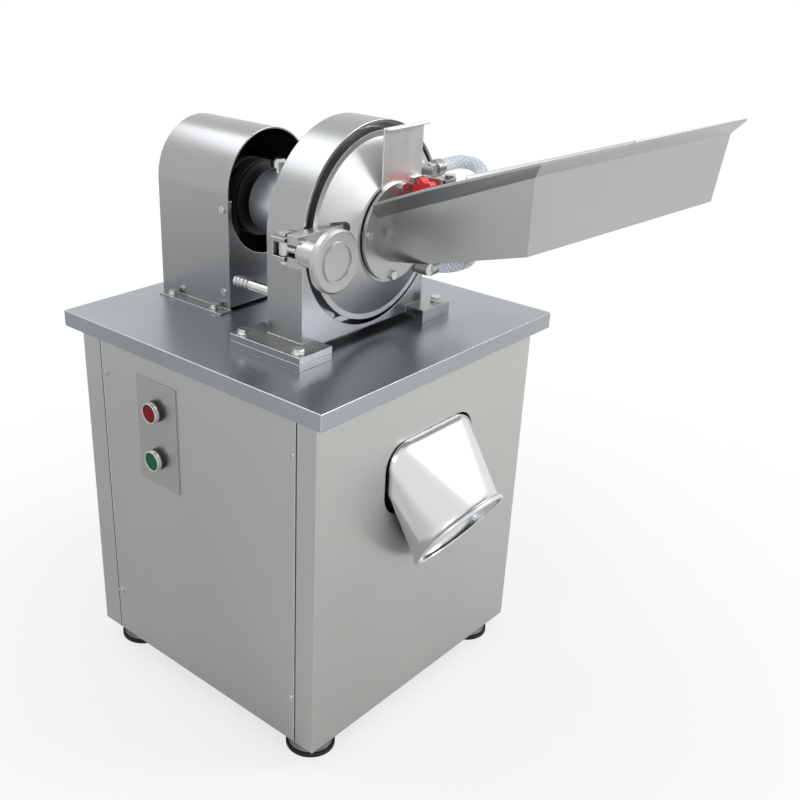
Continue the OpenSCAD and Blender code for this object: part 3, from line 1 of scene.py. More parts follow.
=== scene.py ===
"""Looks of the floor-standing analytical lab mill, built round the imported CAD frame."""
import math

import bmesh
import bpy
from mathutils import Matrix, Vector


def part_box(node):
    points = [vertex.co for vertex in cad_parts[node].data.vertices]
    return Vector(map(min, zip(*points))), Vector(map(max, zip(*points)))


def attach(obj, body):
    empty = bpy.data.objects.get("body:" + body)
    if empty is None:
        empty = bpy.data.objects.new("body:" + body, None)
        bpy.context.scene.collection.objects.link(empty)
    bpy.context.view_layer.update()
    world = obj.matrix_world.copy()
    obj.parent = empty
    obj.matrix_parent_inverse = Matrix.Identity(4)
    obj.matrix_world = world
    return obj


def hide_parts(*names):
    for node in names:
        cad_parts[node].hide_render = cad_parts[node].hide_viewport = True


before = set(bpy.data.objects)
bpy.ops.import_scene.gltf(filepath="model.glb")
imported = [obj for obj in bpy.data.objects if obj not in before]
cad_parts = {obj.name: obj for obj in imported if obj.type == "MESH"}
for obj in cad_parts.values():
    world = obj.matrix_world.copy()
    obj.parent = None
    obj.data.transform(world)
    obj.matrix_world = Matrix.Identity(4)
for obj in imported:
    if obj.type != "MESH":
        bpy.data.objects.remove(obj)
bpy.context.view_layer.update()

# The middle of the table at the cabinet's bottom, which is 28 mm above the floor
TABLE_LOW, TABLE_HIGH = (Vector(corner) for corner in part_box("table_top"))
ORIGIN = (TABLE_LOW + TABLE_HIGH) / 2
ORIGIN.z = 0.028


def at(x, y, z):
    """Point of the frame in metres from millimetres about the table's middle and the cabinet's bottom."""
    return ORIGIN + Vector((x, y, z)) / 1000


# Camera at the photograph's viewing angle

PHOTO_PX = 800
FOCAL_PX = 1076.22
CENTRE_PX = (320.0, 422.34)
SENSOR_MM = 36.0
CAMERA_MM = (-1012.8, -947.4, 998.8)
AZIMUTH = math.radians(-47.6245)
ELEVATION = math.radians(25.6586)
ROLL = math.radians(0.978)


def make_camera():
    """Camera that frames the object as the photograph does."""
    data = bpy.data.cameras.new("camera")
    data.sensor_width = SENSOR_MM
    data.lens = FOCAL_PX / PHOTO_PX * SENSOR_MM
    data.shift_x = (PHOTO_PX / 2 - CENTRE_PX[0]) / PHOTO_PX
    data.shift_y = (CENTRE_PX[1] - PHOTO_PX / 2) / PHOTO_PX
    data.clip_start = 0.05
    data.clip_end = 50
    camera = bpy.data.objects.new("camera", data)
    bpy.context.scene.collection.objects.link(camera)
    right = Vector((math.cos(AZIMUTH), math.sin(AZIMUTH), 0))
    back = Vector((math.sin(AZIMUTH) * math.cos(ELEVATION), -math.cos(AZIMUTH) * math.cos(ELEVATION),
                   math.sin(ELEVATION)))
    up = back.cross(right)
    right_rolled = math.cos(ROLL) * right + math.sin(ROLL) * up
    up_rolled = math.cos(ROLL) * up - math.sin(ROLL) * right
    turn = Matrix((right_rolled, up_rolled, back)).transposed().to_4x4()
    camera.matrix_world = Matrix.Translation(at(*CAMERA_MM)) @ turn
    bpy.context.scene.camera = camera


make_camera()


# Water hose of the door

AXIS_Z = 640.0
HOSE_RADIUS = 0.0085
HOSE_SIDES = 28
HOSE_STEPS = 8
HOSE_ROUTE = [
    (100, -131, 62), (118, -131, 63), (136, -137, 64), (147, -150, 61), (145, -164, 54), (131, -172, 44),
    (114, -173, 31), (104, -171, 13), (103, -170, -8), (112, -168, -30), (129, -165, -48), (146, -156, -62),
    (151, -144, -72), (138, -134, -76), (118, -131, -73), (100, -131, -68),
]


def smooth_path(points, steps):
    """Catmull-Rom curve through the points."""
    ends = [2 * points[0] - points[1]] + points + [2 * points[-1] - points[-2]]
    path = []
    for i in range(1, len(ends) - 2):
        p0, p1, p2, p3 = ends[i - 1:i + 3]
        for step in range(steps):
            t = step / steps
            path.append(0.5 * (2 * p1 + (p2 - p0) * t + (2 * p0 - 5 * p1 + 4 * p2 - p3) * t ** 2
                               + (3 * p1 - p0 - 3 * p2 + p3) * t ** 3))
    return path + [points[-1].copy()]


def link_mesh(name, bm):
    """Mesh object from a bmesh, shaded smooth."""
    mesh = bpy.data.meshes.new(name)
    bm.to_mesh(mesh)
    bm.free()
    for polygon in mesh.polygons:
        polygon.use_smooth = True
    piece = bpy.data.objects.new(name, mesh)
    bpy.context.scene.collection.objects.link(piece)
    return piece


def make_hose():
    """Braided hose as a tube with a lengthwise and a round texture coordinate."""
    path = smooth_path([at(x, y, AXIS_Z + z) for x, y, z in HOSE_ROUTE], HOSE_STEPS)
    bm = bmesh.new()
    uv = bm.loops.layers.uv.new("along")
    side = Vector((0, 1, 0))
    rings, travel, length = [], [0.0], 0.0
    for i, point in enumerate(path):
        ahead = (path[min(i + 1, len(path) - 1)] - path[max(i - 1, 0)]).normalized()
        side = (side - ahead * side.dot(ahead)).normalized()
        other = ahead.cross(side)
        rings.append([bm.verts.new(point + HOSE_RADIUS * (math.cos(2 * math.pi * k / HOSE_SIDES) * side
                                                          + math.sin(2 * math.pi * k / HOSE_SIDES) * other))
                      for k in range(HOSE_SIDES)])
        if i:
            length += (point - path[i - 1]).length
            travel.append(length)
    for i in range(len(rings) - 1):
        for k in range(HOSE_SIDES):
            n = (k + 1) % HOSE_SIDES
            face = bm.faces.new((rings[i][k], rings[i][n], rings[i + 1][n], rings[i + 1][k]))
            for loop, (row, column) in zip(face.loops, ((i, k), (i, k + 1), (i + 1, k + 1), (i + 1, k))):
                loop[uv].uv = (travel[row] / (2 * math.pi * HOSE_RADIUS), column / HOSE_SIDES)
    bm.faces.new(list(reversed(rings[0])))
    bm.faces.new(rings[-1])
    hose = link_mesh("braided_hose", bm)
    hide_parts("water_hose")
    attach(hose, "door")
    return hose


HOSE = make_hose()


# Materials

# Noise textures: the span of their values that is used, and their levels of detail
NOISE_SPAN = (0.3, 0.7)
GRAIN_DETAIL = 4.0
CLOUD_DETAIL = 2.0
EVEN = (1, 1, 1)
# Broad clouds on sheet metal and on cast or moulded pieces, and the share of the brush lines in the colour
SHEET_CLOUD_SCALE = 5.0
CAST_CLOUD_SCALE = 40.0
LINE_SHARE = 0.35
ROUGHNESS_DRIFT = 0.1
COAT_ROUGHNESS = 0.1
TURNED_ANISOTROPY = 0.75
# Height of the grain in metres, and samples of the bevel that rounds sharp edges
GRAIN_HEIGHT = 0.0002
BEVEL_SAMPLES = 8
# Painted highlight on edges: how far the surface has to turn, its share and its colour
EDGE_TURN = (0.03, 0.25)
EDGE_SHARE = 0.8
EDGE_HIGHLIGHT_COLOUR = (0.92, 0.92, 0.92)
# Clear wall of the hose, and the threads in it
WALL_COLOUR = (0.97, 0.985, 1.0)
WALL_CLEARNESS = 0.88
WALL_ROUGHNESS = 0.12
WALL_IOR = 1.12
HOSE_THREADS = 5
THREAD_SHARPNESS = 3.5
THREAD_COLOUR = (0.74, 0.80, 0.88)
THREAD_COVER = 0.80
THREAD_RELIEF = 0.25
THREAD_HEIGHT = 0.0004


def new_material(name):
    """Empty node material with its output and its principled shader."""
    material = bpy.data.materials.new(name)
    material.use_nodes = True
    tree = material.node_tree
    tree.nodes.clear()
    output = tree.nodes.new("ShaderNodeOutputMaterial")
    shader = tree.nodes.new("ShaderNodeBsdfPrincipled")
    tree.links.new(shader.outputs["BSDF"], output.inputs["Surface"])
    return material, tree, shader


def mapped(tree, scale):
    """Object coordinates stretched by a scale on each axis."""
    coords = tree.nodes.new("ShaderNodeTexCoord")
    mapping = tree.nodes.new("ShaderNodeMapping")
    mapping.inputs["Scale"].default_value = scale
    tree.links.new(coords.outputs["Object"], mapping.inputs["Vector"])
    return mapping.outputs["Vector"]


def math_node(tree, operation, first, second=None):
    """Math node between two sockets or numbers."""
    node = tree.nodes.new("ShaderNodeMath")
    node.operation = operation
    for i, value in enumerate((first, second)):
        if isinstance(value, bpy.types.NodeSocket):
            tree.links.new(value, node.inputs[i])
        elif value is not None:
            node.inputs[i].default_value = value
    return node.outputs["Value"]


def vector_node(tree, operation, first, second=None):
    """Vector math node between a socket and a second socket or a plain vector."""
    node = tree.nodes.new("ShaderNodeVectorMath")
    node.operation = operation
    tree.links.new(first, node.inputs[0])
    if isinstance(second, bpy.types.NodeSocket):
        tree.links.new(second, node.inputs[1])
    elif second is not None:
        node.inputs[1].default_value = second
    return node


def map_range(tree, value, source, target, smooth=False):
    """Value moved from one span onto another and kept inside it."""
    node = tree.nodes.new("ShaderNodeMapRange")
    if smooth:
        node.interpolation_type = "SMOOTHSTEP"
    node.inputs["From Min"].default_value, node.inputs["From Max"].default_value = source
    node.inputs["To Min"].default_value, node.inputs["To Max"].default_value = target
    tree.links.new(value, node.inputs["Value"])
    return node.outputs["Result"]


def mix_colours(tree, factor, first, second):
    """Colour between two, each of them a socket or plain red, green and blue."""
    mix = tree.nodes.new("ShaderNodeMix")
    mix.data_type = "RGBA"
    tree.links.new(factor, mix.inputs[0])
    sockets = [socket for socket in mix.inputs if socket.type == "RGBA"]
    for socket, colour in zip(sockets, (first, second)):
        if isinstance(colour, bpy.types.NodeSocket):
            tree.links.new(colour, socket)
        else:
            socket.default_value = (*colour, 1)
    return next(socket for socket in mix.outputs if socket.type == "RGBA")


def mix_shaders(tree, factor, first, second, output):
    """First shader where the factor is zero and second where it is one, sent to the output."""
    mix = tree.nodes.new("ShaderNodeMixShader")
    tree.links.new(factor, mix.inputs["Fac"])
    tree.links.new(first, mix.inputs[1])
    tree.links.new(second, mix.inputs[2])
    tree.links.new(mix.outputs["Shader"], output.inputs["Surface"])


def noise(tree, vector, scale, detail):
    """Noise texture's factor."""
    node = tree.nodes.new("ShaderNodeTexNoise")
    node.inputs["Scale"].default_value = scale
    node.inputs["Detail"].default_value = detail
    tree.links.new(vector, node.inputs["Vector"])
    return node.outputs["Fac"]


def from_axis(tree):
    """Object coordinates about the spindle's axis."""
    coords = tree.nodes.new("ShaderNodeTexCoord")
    return vector_node(tree, "SUBTRACT", coords.outputs["Object"], at(0, 0, AXIS_Z)).outputs["Vector"]


def round_the_axis(tree):
    """Direction of the grain of a face turned on a lathe."""
    across = vector_node(tree, "CROSS_PRODUCT", from_axis(tree), (0, 1, 0))
    return vector_node(tree, "NORMALIZE", across.outputs["Vector"]).outputs["Vector"]


def turned(tree, grain):
    """Noise that only varies with the distance from the spindle's axis."""
    split = tree.nodes.new("ShaderNodeSeparateXYZ")
    tree.links.new(from_axis(tree), split.inputs["Vector"])
    across = math_node(tree, "MULTIPLY", split.outputs["X"], split.outputs["X"])
    up = math_node(tree, "MULTIPLY", split.outputs["Z"], split.outputs["Z"])
    radius = math_node(tree, "SQRT", math_node(tree, "ADD", across, up))
    joined = tree.nodes.new("ShaderNodeCombineXYZ")
    tree.links.new(radius, joined.inputs["X"])
    return noise(tree, joined.outputs["Vector"], grain, GRAIN_DETAIL)


def soften_edges(tree, shader, radius, height, strength):
    """Rounds the look of sharp edges, with a fine bump on top."""
    bevel = tree.nodes.new("ShaderNodeBevel")
    bevel.samples = BEVEL_SAMPLES
    bevel.inputs["Radius"].default_value = radius
    bump = tree.nodes.new("ShaderNodeBump")
    bump.inputs["Strength"].default_value = strength
    bump.inputs["Distance"].default_value = GRAIN_HEIGHT
    tree.links.new(height, bump.inputs["Height"])
    tree.links.new(bevel.outputs["Normal"], bump.inputs["Normal"])
    tree.links.new(bump.outputs["Normal"], shader.inputs["Normal"])
    return bevel.outputs["Normal"]


def paint_edge_highlights(tree, shader, rounded, colour):
    """Painted highlight: lets the colour rise towards near white where the surface turns over an edge."""
    geometry = tree.nodes.new("ShaderNodeNewGeometry")
    along = vector_node(tree, "DOT_PRODUCT", rounded, geometry.outputs["Normal"])
    turn = math_node(tree, "SUBTRACT", 1.0, along.outputs["Value"])
    # Painted highlight: near white where the bevelled normal turns away from the surface's own normal
    painted_highlight = map_range(tree, turn, EDGE_TURN, (0.0, EDGE_SHARE))
    tree.links.new(mix_colours(tree, painted_highlight, colour, EDGE_HIGHLIGHT_COLOUR), shader.inputs["Base Color"])


def two_tones(tree, factor, colour, cloud):
    """Colour that drifts a little darker and lighter with a factor."""
    darker = [c * (1 - cloud) for c in colour]
    lighter = [min(1, c * (1 + cloud)) for c in colour]
    return mix_colours(tree, factor, darker, lighter)


def brushed(name, colour, rough, stretch, grain=700.0, edge=0.0006, strength=0.06, cloud=0.04):
    """Brushed metal whose grain runs along the axis with the smallest stretch, or round the spindle."""
    material, tree, shader = new_material(name)
    shader.inputs["Metallic"].default_value = 1.0
    if stretch is None:
        shader.inputs["Anisotropic"].default_value = TURNED_ANISOTROPY
        tree.links.new(round_the_axis(tree), shader.inputs["Tangent"])
        lines = turned(tree, grain)
    else:
        lines = noise(tree, mapped(tree, stretch), grain, GRAIN_DETAIL)
    clouds = noise(tree, mapped(tree, EVEN), SHEET_CLOUD_SCALE, CLOUD_DETAIL)
    tree.links.new(map_range(tree, lines, NOISE_SPAN, rough), shader.inputs["Roughness"])
    mixed = math_node(tree, "ADD", math_node(tree, "MULTIPLY", lines, LINE_SHARE),
                      math_node(tree, "MULTIPLY", clouds, 1 - LINE_SHARE))
    tones = two_tones(tree, map_range(tree, mixed, NOISE_SPAN, (0.0, 1.0)), colour, cloud)
    rounded = soften_edges(tree, shader, edge, lines, strength)
    # Painted highlight along the rounded edges of the metal
    paint_edge_highlights(tree, shader, rounded, tones)
    return material


def plain(name, colour, roughness, metallic=0.0, edge=0.0005, coat=0.0, texture=900.0, strength=0.06,
          cloud=0.08, specular=0.5):
    """Moulded, painted or bare material with a fine grain and a slight drift of colour."""
    material, tree, shader = new_material(name)
    shader.inputs["Metallic"].default_value = metallic
    shader.inputs["Coat Weight"].default_value = coat
    shader.inputs["Coat Roughness"].default_value = COAT_ROUGHNESS
    shader.inputs["Specular IOR Level"].default_value = specular
    grain = noise(tree, mapped(tree, EVEN), texture, CLOUD_DETAIL)
    clouds = noise(tree, mapped(tree, EVEN), CAST_CLOUD_SCALE, CLOUD_DETAIL)
    tones = two_tones(tree, map_range(tree, clouds, NOISE_SPAN, (0.0, 1.0)), colour, cloud)
    tree.links.new(tones, shader.inputs["Base Color"])
    rough = (roughness * (1 - ROUGHNESS_DRIFT), roughness * (1 + ROUGHNESS_DRIFT))
    tree.links.new(map_range(tree, grain, NOISE_SPAN, rough), shader.inputs["Roughness"])
    soften_edges(tree, shader, edge, grain, strength)
    return material


def braided_hose(name):
    """Clear hose with crossing threads in its wall."""
    material, tree, shader = new_material(name)
    coords = tree.nodes.new("ShaderNodeTexCoord")
    split = tree.nodes.new("ShaderNodeSeparateXYZ")
    tree.links.new(coords.outputs["UV"], split.inputs["Vector"])
    windings = []
    for operation in ("ADD", "SUBTRACT"):
        turn = math_node(tree, operation, split.outputs["X"], split.outputs["Y"])
        wave = math_node(tree, "SINE", math_node(tree, "MULTIPLY", turn, 2 * math.pi * HOSE_THREADS))
        windings.append(math_node(tree, "POWER", math_node(tree, "ABSOLUTE", wave), THREAD_SHARPNESS))
    threads = math_node(tree, "MAXIMUM", *windings)
    shader.inputs["Roughness"].default_value = WALL_ROUGHNESS
    shader.inputs["IOR"].default_value = WALL_IOR
    tree.links.new(mix_colours(tree, threads, WALL_COLOUR, THREAD_COLOUR), shader.inputs["Base Color"])
    covered = math_node(tree, "MULTIPLY", threads, THREAD_COVER)
    tree.links.new(math_node(tree, "SUBTRACT", WALL_CLEARNESS, covered), shader.inputs["Transmission Weight"])
    bump = tree.nodes.new("ShaderNodeBump")
    bump.inputs["Strength"].default_value = THREAD_RELIEF
    bump.inputs["Distance"].default_value = THREAD_HEIGHT
    tree.links.new(threads, bump.inputs["Height"])
    tree.links.new(bump.outputs["Normal"], shader.inputs["Normal"])
    return material


LOOKS = {
    "panel": brushed("satin_panel", (0.53, 0.52, 0.505), (0.34, 0.40), (1, 1, 0.008), grain=1100.0,
                     strength=0.01),
    "table": brushed("brushed_table", (0.37, 0.395, 0.42), (0.27, 0.33), (0.004, 1, 1), grain=900.0,
                     edge=0.002, strength=0.004, cloud=0.12),
    "mill": brushed("satin_mill_body", (0.36, 0.368, 0.375), (0.27, 0.285), (0.004, 1, 0.004), grain=1600.0,
                    edge=0.0012, strength=0.001, cloud=0.02),
    "door": brushed("turned_door", (0.53, 0.535, 0.54), (0.44, 0.52), None, grain=1800.0, strength=0.03),
    "wheel": brushed("turned_wheel", (0.46, 0.46, 0.455), (0.34, 0.42), EVEN, grain=900.0,
                     strength=0.02),
    "tray": brushed("satin_tray", (0.44, 0.44, 0.44), (0.30, 0.36), (0.004, 1, 1), grain=900.0,
                    strength=0.004),
    "gate": brushed("satin_gate", (0.86, 0.85, 0.84), (0.38, 0.46), (1, 1, 0.02), grain=900.0,
                    strength=0.01),
    "spout": brushed("satin_spout", (0.70, 0.71, 0.72), (0.22, 0.27), (1, 0.2, 0.05), grain=900.0,
                     strength=0.01),
    "guard": brushed("satin_guard", (0.355, 0.362, 0.37), (0.26, 0.275), (1, 0.004, 1), grain=1600.0,
                     edge=0.001, strength=0.001, cloud=0.02),
    "housing": plain("cast_housing", (0.60, 0.635, 0.67), 0.36, 0.85, edge=0.001, texture=350.0),
    "bolt": plain("bright_bolts", (0.60, 0.60, 0.59), 0.26, 1.0, edge=0.0004),
    "bearing": plain("ground_steel", (0.68, 0.68, 0.68), 0.14, 1.0),
    "dark_steel": plain("dark_steel", (0.06, 0.062, 0.068), 0.42, 0.8, texture=400.0),
    "frame": plain("frame_paint", (0.08, 0.08, 0.09), 0.5),
    "motor": plain("motor_paint", (0.12, 0.17, 0.22), 0.45, texture=500.0),
    "black": plain("black_plastic", (0.014, 0.014, 0.015), 0.38),
    "foot": plain("foot_steel", (0.15, 0.15, 0.148), 0.40, 0.7, texture=300.0),
    "fitting": plain("fitting_metal", (0.60, 0.60, 0.59), 0.24, 1.0, texture=500.0),
    "red": plain("red_plastic", (0.92, 0.035, 0.05), 0.32, coat=0.3, edge=0.0008, cloud=0.04),
    "button_red": plain("button_red", (0.20, 0.003, 0.006), 0.55, texture=1600.0, strength=0.2,
                        specular=0.2),
    "button_green": plain("button_green", (0.001, 0.105, 0.035), 0.55, texture=1600.0, strength=0.2,
                          specular=0.2),
    "rubber": plain("black_rubber", (0.012, 0.012, 0.012), 0.65),
    "gasket": plain("dark_gasket", (0.03, 0.03, 0.03), 0.6),
    "plate": brushed("button_plate", (0.44, 0.44, 0.435), (0.34, 0.40), (1, 1, 0.02)),
    "hose": braided_hose("clear_braided_hose"),
    "hidden": plain("inner_steel", (0.30, 0.30, 0.31), 0.45, 1.0),
}

NODE_LOOKS = {
    "panel": ["front_panel", "rear_panel", "left_panel", "right_panel"],
    "table": ["table_top"],
    "mill": ["mill_housing", "riser_plates", "clamp_bracket"],
    "door": ["mill_door"],
    "wheel": ["clamp_knob", "door_fork", "feed_flange"],
    "tray": ["feed_tray"],
    "gate": ["feed_gate"],
    "guard": ["belt_guard", "guard_front_plate"],
    "housing": ["bearing_housing", "bearing_caps"],
    "bolt": ["panel_screws", "hex_bolts", "flange_bolts", "clamp_pin", "swing_bolt", "hinge_pin",
             "water_inlet_barb", "grease_cup_cap", "rotor_nut", "motor_shaft", "grease_cup_body"],
    "bearing": ["bearing_outer_races", "bearing_inner_races", "bearing_balls", "spindle_shaft"],
    "dark_steel": ["motor_pulley", "spindle_pulley", "rotor", "grinding_insert", "door_liner"],
    "frame": ["base_frame", "motor_plate"],
    "motor": ["motor_body", "motor_end_shields", "terminal_box"],
    "black": ["motor_fan_cover", "motor_fan", "cable_gland"],
    "foot": ["levelling_feet"],
    "fitting": ["door_fittings"],
    "red": ["gate_knob"],
    "button_red": ["stop_button_cap"],
    "button_green": ["start_button_cap"],
    "rubber": ["foot_pads", "drive_belts"],
    "gasket": ["door_gasket"],
    "plate": ["button_plate"],
    "hidden": ["screen_ring", "discharge_chute", "button_bodies", "discharge_spout", "water_hose"],
}

for look, names in NODE_LOOKS.items():
    for node_name in names:
        node_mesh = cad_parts[node_name].data
        node_mesh.materials.clear()
        node_mesh.materials.append(LOOKS[look])

HOSE.data.materials.append(LOOKS["hose"])


# Discharge spout, a smooth shell in the place of the faceted solid

CORNER_STEPS = 18
FLAT_STEPS = 4
LOFT_STEPS = 14
SPOUT_WIDTH = 170.0
SPOUT_HEIGHT = 96.0
SPOUT_CORNER = 34.0
SPOUT_LEVEL = 351.0
SHEET = 2.0
DUCT_INNER_Y = -203.5
DUCT_NOSE_Y = -221.5
MOUTH = Vector((0, -273.5, 267))
MOUTH_TILT = math.radians(35)
MOUTH_AXIS = Vector((0, -math.cos(MOUTH_TILT), -math.sin(MOUTH_TILT)))
MOUTH_RADIUS = 67.5
COLLAR_IN = 10.4
# Corner radius of a nearly round outline, as a share of its radius
ROUND_SHARE = 0.98
# Collar and rolled bead: radius, and distance along the mouth's axis
BEAD_PROFILE = [
    (69.2, -8.4), (69.5, -6.9), (70.3, -6.4), (71.4, -5.4), (72.0, -4.1), (72.0, -2.7), (71.5, -1.4),
    (70.4, -0.4), (69.2, -0.05), (68.1, -0.3), (67.2, -1.1), (66.9, -2.3), (67.2, -3.6), (67.5, -5.0),
]


def skin(bm, loops):
    """Faces between each closed loop of points and the next, the last and the first included."""
    count = len(loops[0])
    strips = []
    for i, loop in enumerate(loops):
        ahead = loops[(i + 1) % len(loops)]
        strips.append([bm.faces.new((loop[k], loop[(k + 1) % count], ahead[(k + 1) % count], ahead[k]))
                       for k in range(count)])
    return strips


def outline(width, height, corner):
    """Rounded rectangle with the same number of points whatever its sizes."""
    quarter = math.pi / 2
    corners = []
    for k in range(4):
        cx = math.copysign(width / 2 - corner, math.cos((k + 0.5) * quarter))
        cy = math.copysign(height / 2 - corner, math.sin((k + 0.5) * quarter))
        angles = [(k + i / CORNER_STEPS) * quarter for i in range(CORNER_STEPS + 1)]
        corners.append([Vector((cx + corner * math.cos(a), cy + corner * math.sin(a))) for a in angles])
    points = []
    for k in range(4):
        start, end = corners[k][-1], corners[(k + 1) % 4][0]
        points += corners[k] + [start.lerp(end, i / FLAT_STEPS) for i in range(1, FLAT_STEPS)]
    return points


def round_outline(radius):
    """Nearly round outline with the duct's number of points."""
    return outline(2 * radius, 2 * radius, ROUND_SHARE * radius)


def spout_ring(centre, tilt, points):
    """Outline that stands across the duct, tipped by a tilt."""
    return [centre + Vector((px, -py * math.sin(tilt), py * math.cos(tilt))) for px, py in points]


def spout_wall(wall, end_radius):
    """Rings of one face of the duct from its inner end to the collar."""
    box = outline(SPOUT_WIDTH - 2 * wall, SPOUT_HEIGHT - 2 * wall, SPOUT_CORNER - wall)
    start = spout_ring(Vector((0, DUCT_INNER_Y, SPOUT_LEVEL)), 0, box)
    nose = spout_ring(Vector((0, DUCT_NOSE_Y, SPOUT_LEVEL)), 0, box)
    end = spout_ring(MOUTH - MOUTH_AXIS * COLLAR_IN, MOUTH_TILT, round_outline(end_radius))
    rings = [start, [a.lerp(b, 0.5) for a, b in zip(start, nose)], nose]
    for step in range(1, LOFT_STEPS + 1):
        rings.append([a.lerp(b, step / LOFT_STEPS) for a, b in zip(nose, end)])
    return rings


def make_spout():
    """Duct, collar and rolled bead as one closed shell."""
    rings = spout_wall(0, MOUTH_RADIUS + SHEET / 2)
    rings += [spout_ring(MOUTH + MOUTH_AXIS * along, MOUTH_TILT, round_outline(radius))
              for radius, along in BEAD_PROFILE]
    rings += list(reversed(spout_wall(SHEET, MOUTH_RADIUS - SHEET / 4)))
    bm = bmesh.new()
    skin(bm, [[bm.verts.new(at(*point)) for point in ring] for ring in rings])
    bmesh.ops.recalc_face_normals(bm, faces=bm.faces)
    spout = link_mesh("smooth_spout", bm)
    spout.data.materials.append(LOOKS["spout"])
    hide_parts("discharge_spout")
    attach(spout, "cabinet")


make_spout()


# Push buttons, ribbed black bodies with a bright double ring in the place of the plain solids

BUTTON_Y = 65.8
BUTTON_LEVELS = (331.6, 401.6)
BUTTON_SIDES = 96
BUTTON_RIB_DEPTH = 0.55
BUTTON_RIB_SIDES = 4
BUTTON_SHARP_EDGE = math.radians(38)
# Outline of a body, from its stem through the bezel and back: x, radius and kind of surface
BLACK, RIBBED, BRIGHT = range(3)
BUTTON_PROFILE = [
    (-195.5, 3.4, BLACK), (-195.5, 10.6, BLACK), (-219.5, 10.6, BLACK), (-219.5, 14.75, BLACK),
    (-225.2, 14.75, RIBBED), (-225.4, 13.9, BLACK), (-225.9, 13.9, BLACK), (-226.1, 14.75, BRIGHT),
    (-228.6, 14.75, BRIGHT), (-229.0, 14.3, BRIGHT), (-229.4, 14.3, BRIGHT), (-229.8, 14.7, BRIGHT),
    (-231.6, 14.7, BRIGHT), (-232.3, 14.2, BRIGHT), (-232.5, 13.4, BRIGHT), (-232.4, 12.4, BRIGHT),
    (-231.8, 11.95, BLACK), (-224.5, 11.95, BLACK), (-224.5, 3.4, BLACK),
]


def make_button_body(name, level):
    """Body turned about its axis, ribbed on its outside."""
    bm = bmesh.new()
    loops = []
    for x, radius, kind in BUTTON_PROFILE:
        ring = []
        for k in range(BUTTON_SIDES):
            angle = 2 * math.pi * k / BUTTON_SIDES
            groove = kind == RIBBED and k % BUTTON_RIB_SIDES < BUTTON_RIB_SIDES / 2
            r = radius - (BUTTON_RIB_DEPTH if groove else 0)
            ring.append(bm.verts.new(at(x, BUTTON_Y + r * math.cos(angle), level + r * math.sin(angle))))
        loops.append(ring)
    for strip, (_, _, kind) in zip(skin(bm, loops), BUTTON_PROFILE):
        for face in strip:
            face.material_index = 1 if kind == BRIGHT else 0
    bmesh.ops.recalc_face_normals(bm, faces=bm.faces)
    body = link_mesh(name, bm)
    body.data.set_sharp_from_angle(angle=BUTTON_SHARP_EDGE)
    body.data.materials.append(LOOKS["black"])
    body.data.materials.append(LOOKS["bolt"])
    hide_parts("button_bodies")
    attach(body, "cabinet")


make_button_body("start_button_body", BUTTON_LEVELS[0])
make_button_body("stop_button_body", BUTTON_LEVELS[1])


# Seams between the side panels and the returns: a black strip of painted shade in each gap, with the folded
# edge beside it

SEAM_FRONT_Y = -185.6
SEAM_REAR_Y = 180.6
PANEL_X = 217.5
SEAM_ENDS = (0.5, 478.0)
SEAM_SHARP_EDGE = math.radians(60)
# Distance along the panel, distance proud of it, and material: 0 the black strip of painted shade, 1 the
# bright fold
SEAM_PROFILE = [
    (-1.2, -0.25, 0), (-1.2, 0.06, 0), (1.0, 0.06, 1), (1.1, 0.4, 1), (1.6, 0.6, 1), (2.1, 0.4, 1),
    (2.3, 0.0, 1), (2.3, -0.25, 0),
]


def make_seam(name, side, y, toward):
    """Black strip of painted shade in the joint, and bright rounded fold along a panel's upright edge."""
    bm = bmesh.new()
    ends = [[bm.verts.new(at(side * (PANEL_X + proud), y + toward * across, z))
             for across, proud, _ in SEAM_PROFILE] for z in SEAM_ENDS]
    for k, (_, _, look) in enumerate(SEAM_PROFILE):
        n = (k + 1) % len(SEAM_PROFILE)
        face = bm.faces.new((ends[0][k], ends[0][n], ends[1][n], ends[1][k]))
        face.material_index = look
    bm.faces.new(ends[0])
    bm.faces.new(ends[1])
    bmesh.ops.recalc_face_normals(bm, faces=bm.faces)
    seam = link_mesh(name, bm)
    seam.data.set_sharp_from_angle(angle=SEAM_SHARP_EDGE)
    # Black material of the strip: painted shade of the gap between the panels
    seam.data.materials.append(LOOKS["black"])
    seam.data.materials.append(LOOKS["bearing"])
    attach(seam, "cabinet")


make_seam("seam_left_front", -1, SEAM_FRONT_Y, 1)
make_seam("seam_left_rear", -1, SEAM_REAR_Y, -1)
make_seam("seam_right_front", 1, SEAM_FRONT_Y, 1)
make_seam("seam_right_rear", 1, SEAM_REAR_Y, -1)


# Floor, light and background

FLOOR_SIZE = 60
FLOOR_COLOUR = (0.82, 0.82, 0.82, 1)
FLOOR_ROUGHNESS = 0.9
# Share of white that the camera sees on the floor under the object, and that metal sees there
FLOOR_WHITE = 0.72
FLOOR_MIRRORED = 0.0
# Distances over which the floor turns white, for the camera from the middle and for metal from behind
FADE_SEEN = (0.25, 1.1)
FADE_MIRRORED = (1.0, 2.4)
FADE_CENTRE = (-0.7, 0.8, 0)
STUDIO_LEVEL = 0.5
STUDIO_COLOUR = (0.97, 0.985, 1.0, 1)
WHITE = (1, 1, 1, 1)


def mirrored_rays(tree, path):
    """Rays that come by way of metal or through the clear hose."""
    return math_node(tree, "MAXIMUM", path.outputs["Is Glossy Ray"], path.outputs["Is Transmission Ray"])


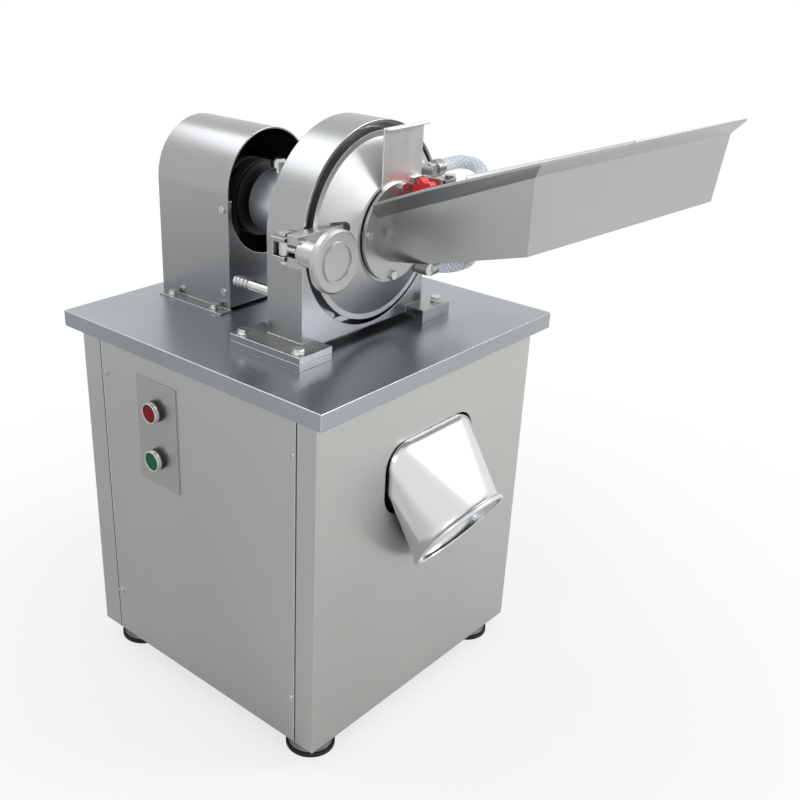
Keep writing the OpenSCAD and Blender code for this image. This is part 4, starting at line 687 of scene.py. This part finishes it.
def make_stage():
    """Pale floor that keeps the object's shadow and fades into the white background."""
    bpy.ops.mesh.primitive_plane_add(size=FLOOR_SIZE, location=(0, 0, 0))
    floor = bpy.context.active_object
    floor.name = "floor"
    material, tree, shader = new_material("floor_white")
    shader.inputs["Base Color"].default_value = FLOOR_COLOUR
    shader.inputs["Roughness"].default_value = FLOOR_ROUGHNESS
    shader.inputs["Specular IOR Level"].default_value = 0.0
    white = tree.nodes.new("ShaderNodeEmission")
    white.inputs["Color"].default_value = WHITE
    white.inputs["Strength"].default_value = 1.0
    coords = tree.nodes.new("ShaderNodeTexCoord")
    path = tree.nodes.new("ShaderNodeLightPath")
    from_middle = vector_node(tree, "LENGTH", coords.outputs["Object"]).outputs["Value"]
    from_behind = vector_node(tree, "DISTANCE", coords.outputs["Object"], FADE_CENTRE).outputs["Value"]
    bare = map_range(tree, from_middle, FADE_SEEN, (FLOOR_WHITE, 1.0), smooth=True)
    mirrored = map_range(tree, from_behind, FADE_MIRRORED, (FLOOR_MIRRORED, 1.0), smooth=True)
    seen = math_node(tree, "ADD", math_node(tree, "MULTIPLY", path.outputs["Is Camera Ray"], bare),
                     math_node(tree, "MULTIPLY", mirrored_rays(tree, path), mirrored))
    mix_shaders(tree, seen, shader.outputs["BSDF"], white.outputs["Emission"], tree.nodes["Material Output"])
    floor.data.materials.append(material)


def area_light(name, place, target, size, power):
    """Soft box of a width and a height that looks at a target."""
    data = bpy.data.lights.new(name, "AREA")
    data.shape = "RECTANGLE"
    data.size = size[0]
    data.size_y = size[1]
    data.energy = power
    light = bpy.data.objects.new(name, data)
    light.location = place
    light.rotation_euler = (Vector(target) - Vector(place)).to_track_quat("-Z", "Y").to_euler()
    bpy.context.scene.collection.objects.link(light)


def background(tree, colour, strength):
    """Even light from all round."""
    node = tree.nodes.new("ShaderNodeBackground")
    node.inputs["Color"].default_value = colour
    node.inputs["Strength"].default_value = strength
    return node.outputs["Background"]


def make_world():
    """Grey studio that lights the object, white behind it and in its reflections."""
    world = bpy.data.worlds.new("studio")
    bpy.context.scene.world = world
    world.use_nodes = True
    tree = world.node_tree
    tree.nodes.clear()
    output = tree.nodes.new("ShaderNodeOutputWorld")
    path = tree.nodes.new("ShaderNodeLightPath")
    seen = math_node(tree, "MAXIMUM", path.outputs["Is Camera Ray"], mirrored_rays(tree, path))
    studio = background(tree, STUDIO_COLOUR, STUDIO_LEVEL)
    mix_shaders(tree, seen, studio, background(tree, WHITE, 1.0), output)


make_stage()
make_world()
area_light("key", place=(1.9, -2.3, 2.4), target=(0, 0, 0.3), size=(1.5, 1.5), power=62)
area_light("left", place=(-2.6, -0.6, 2.2), target=(0, 0, 0.4), size=(0.9, 0.9), power=14)
area_light("top", place=(-0.5, 1.7, 2.7), target=(0, 0, 0.6), size=(2.0, 0.9), power=13)

bpy.context.scene.view_settings.view_transform = "Standard"
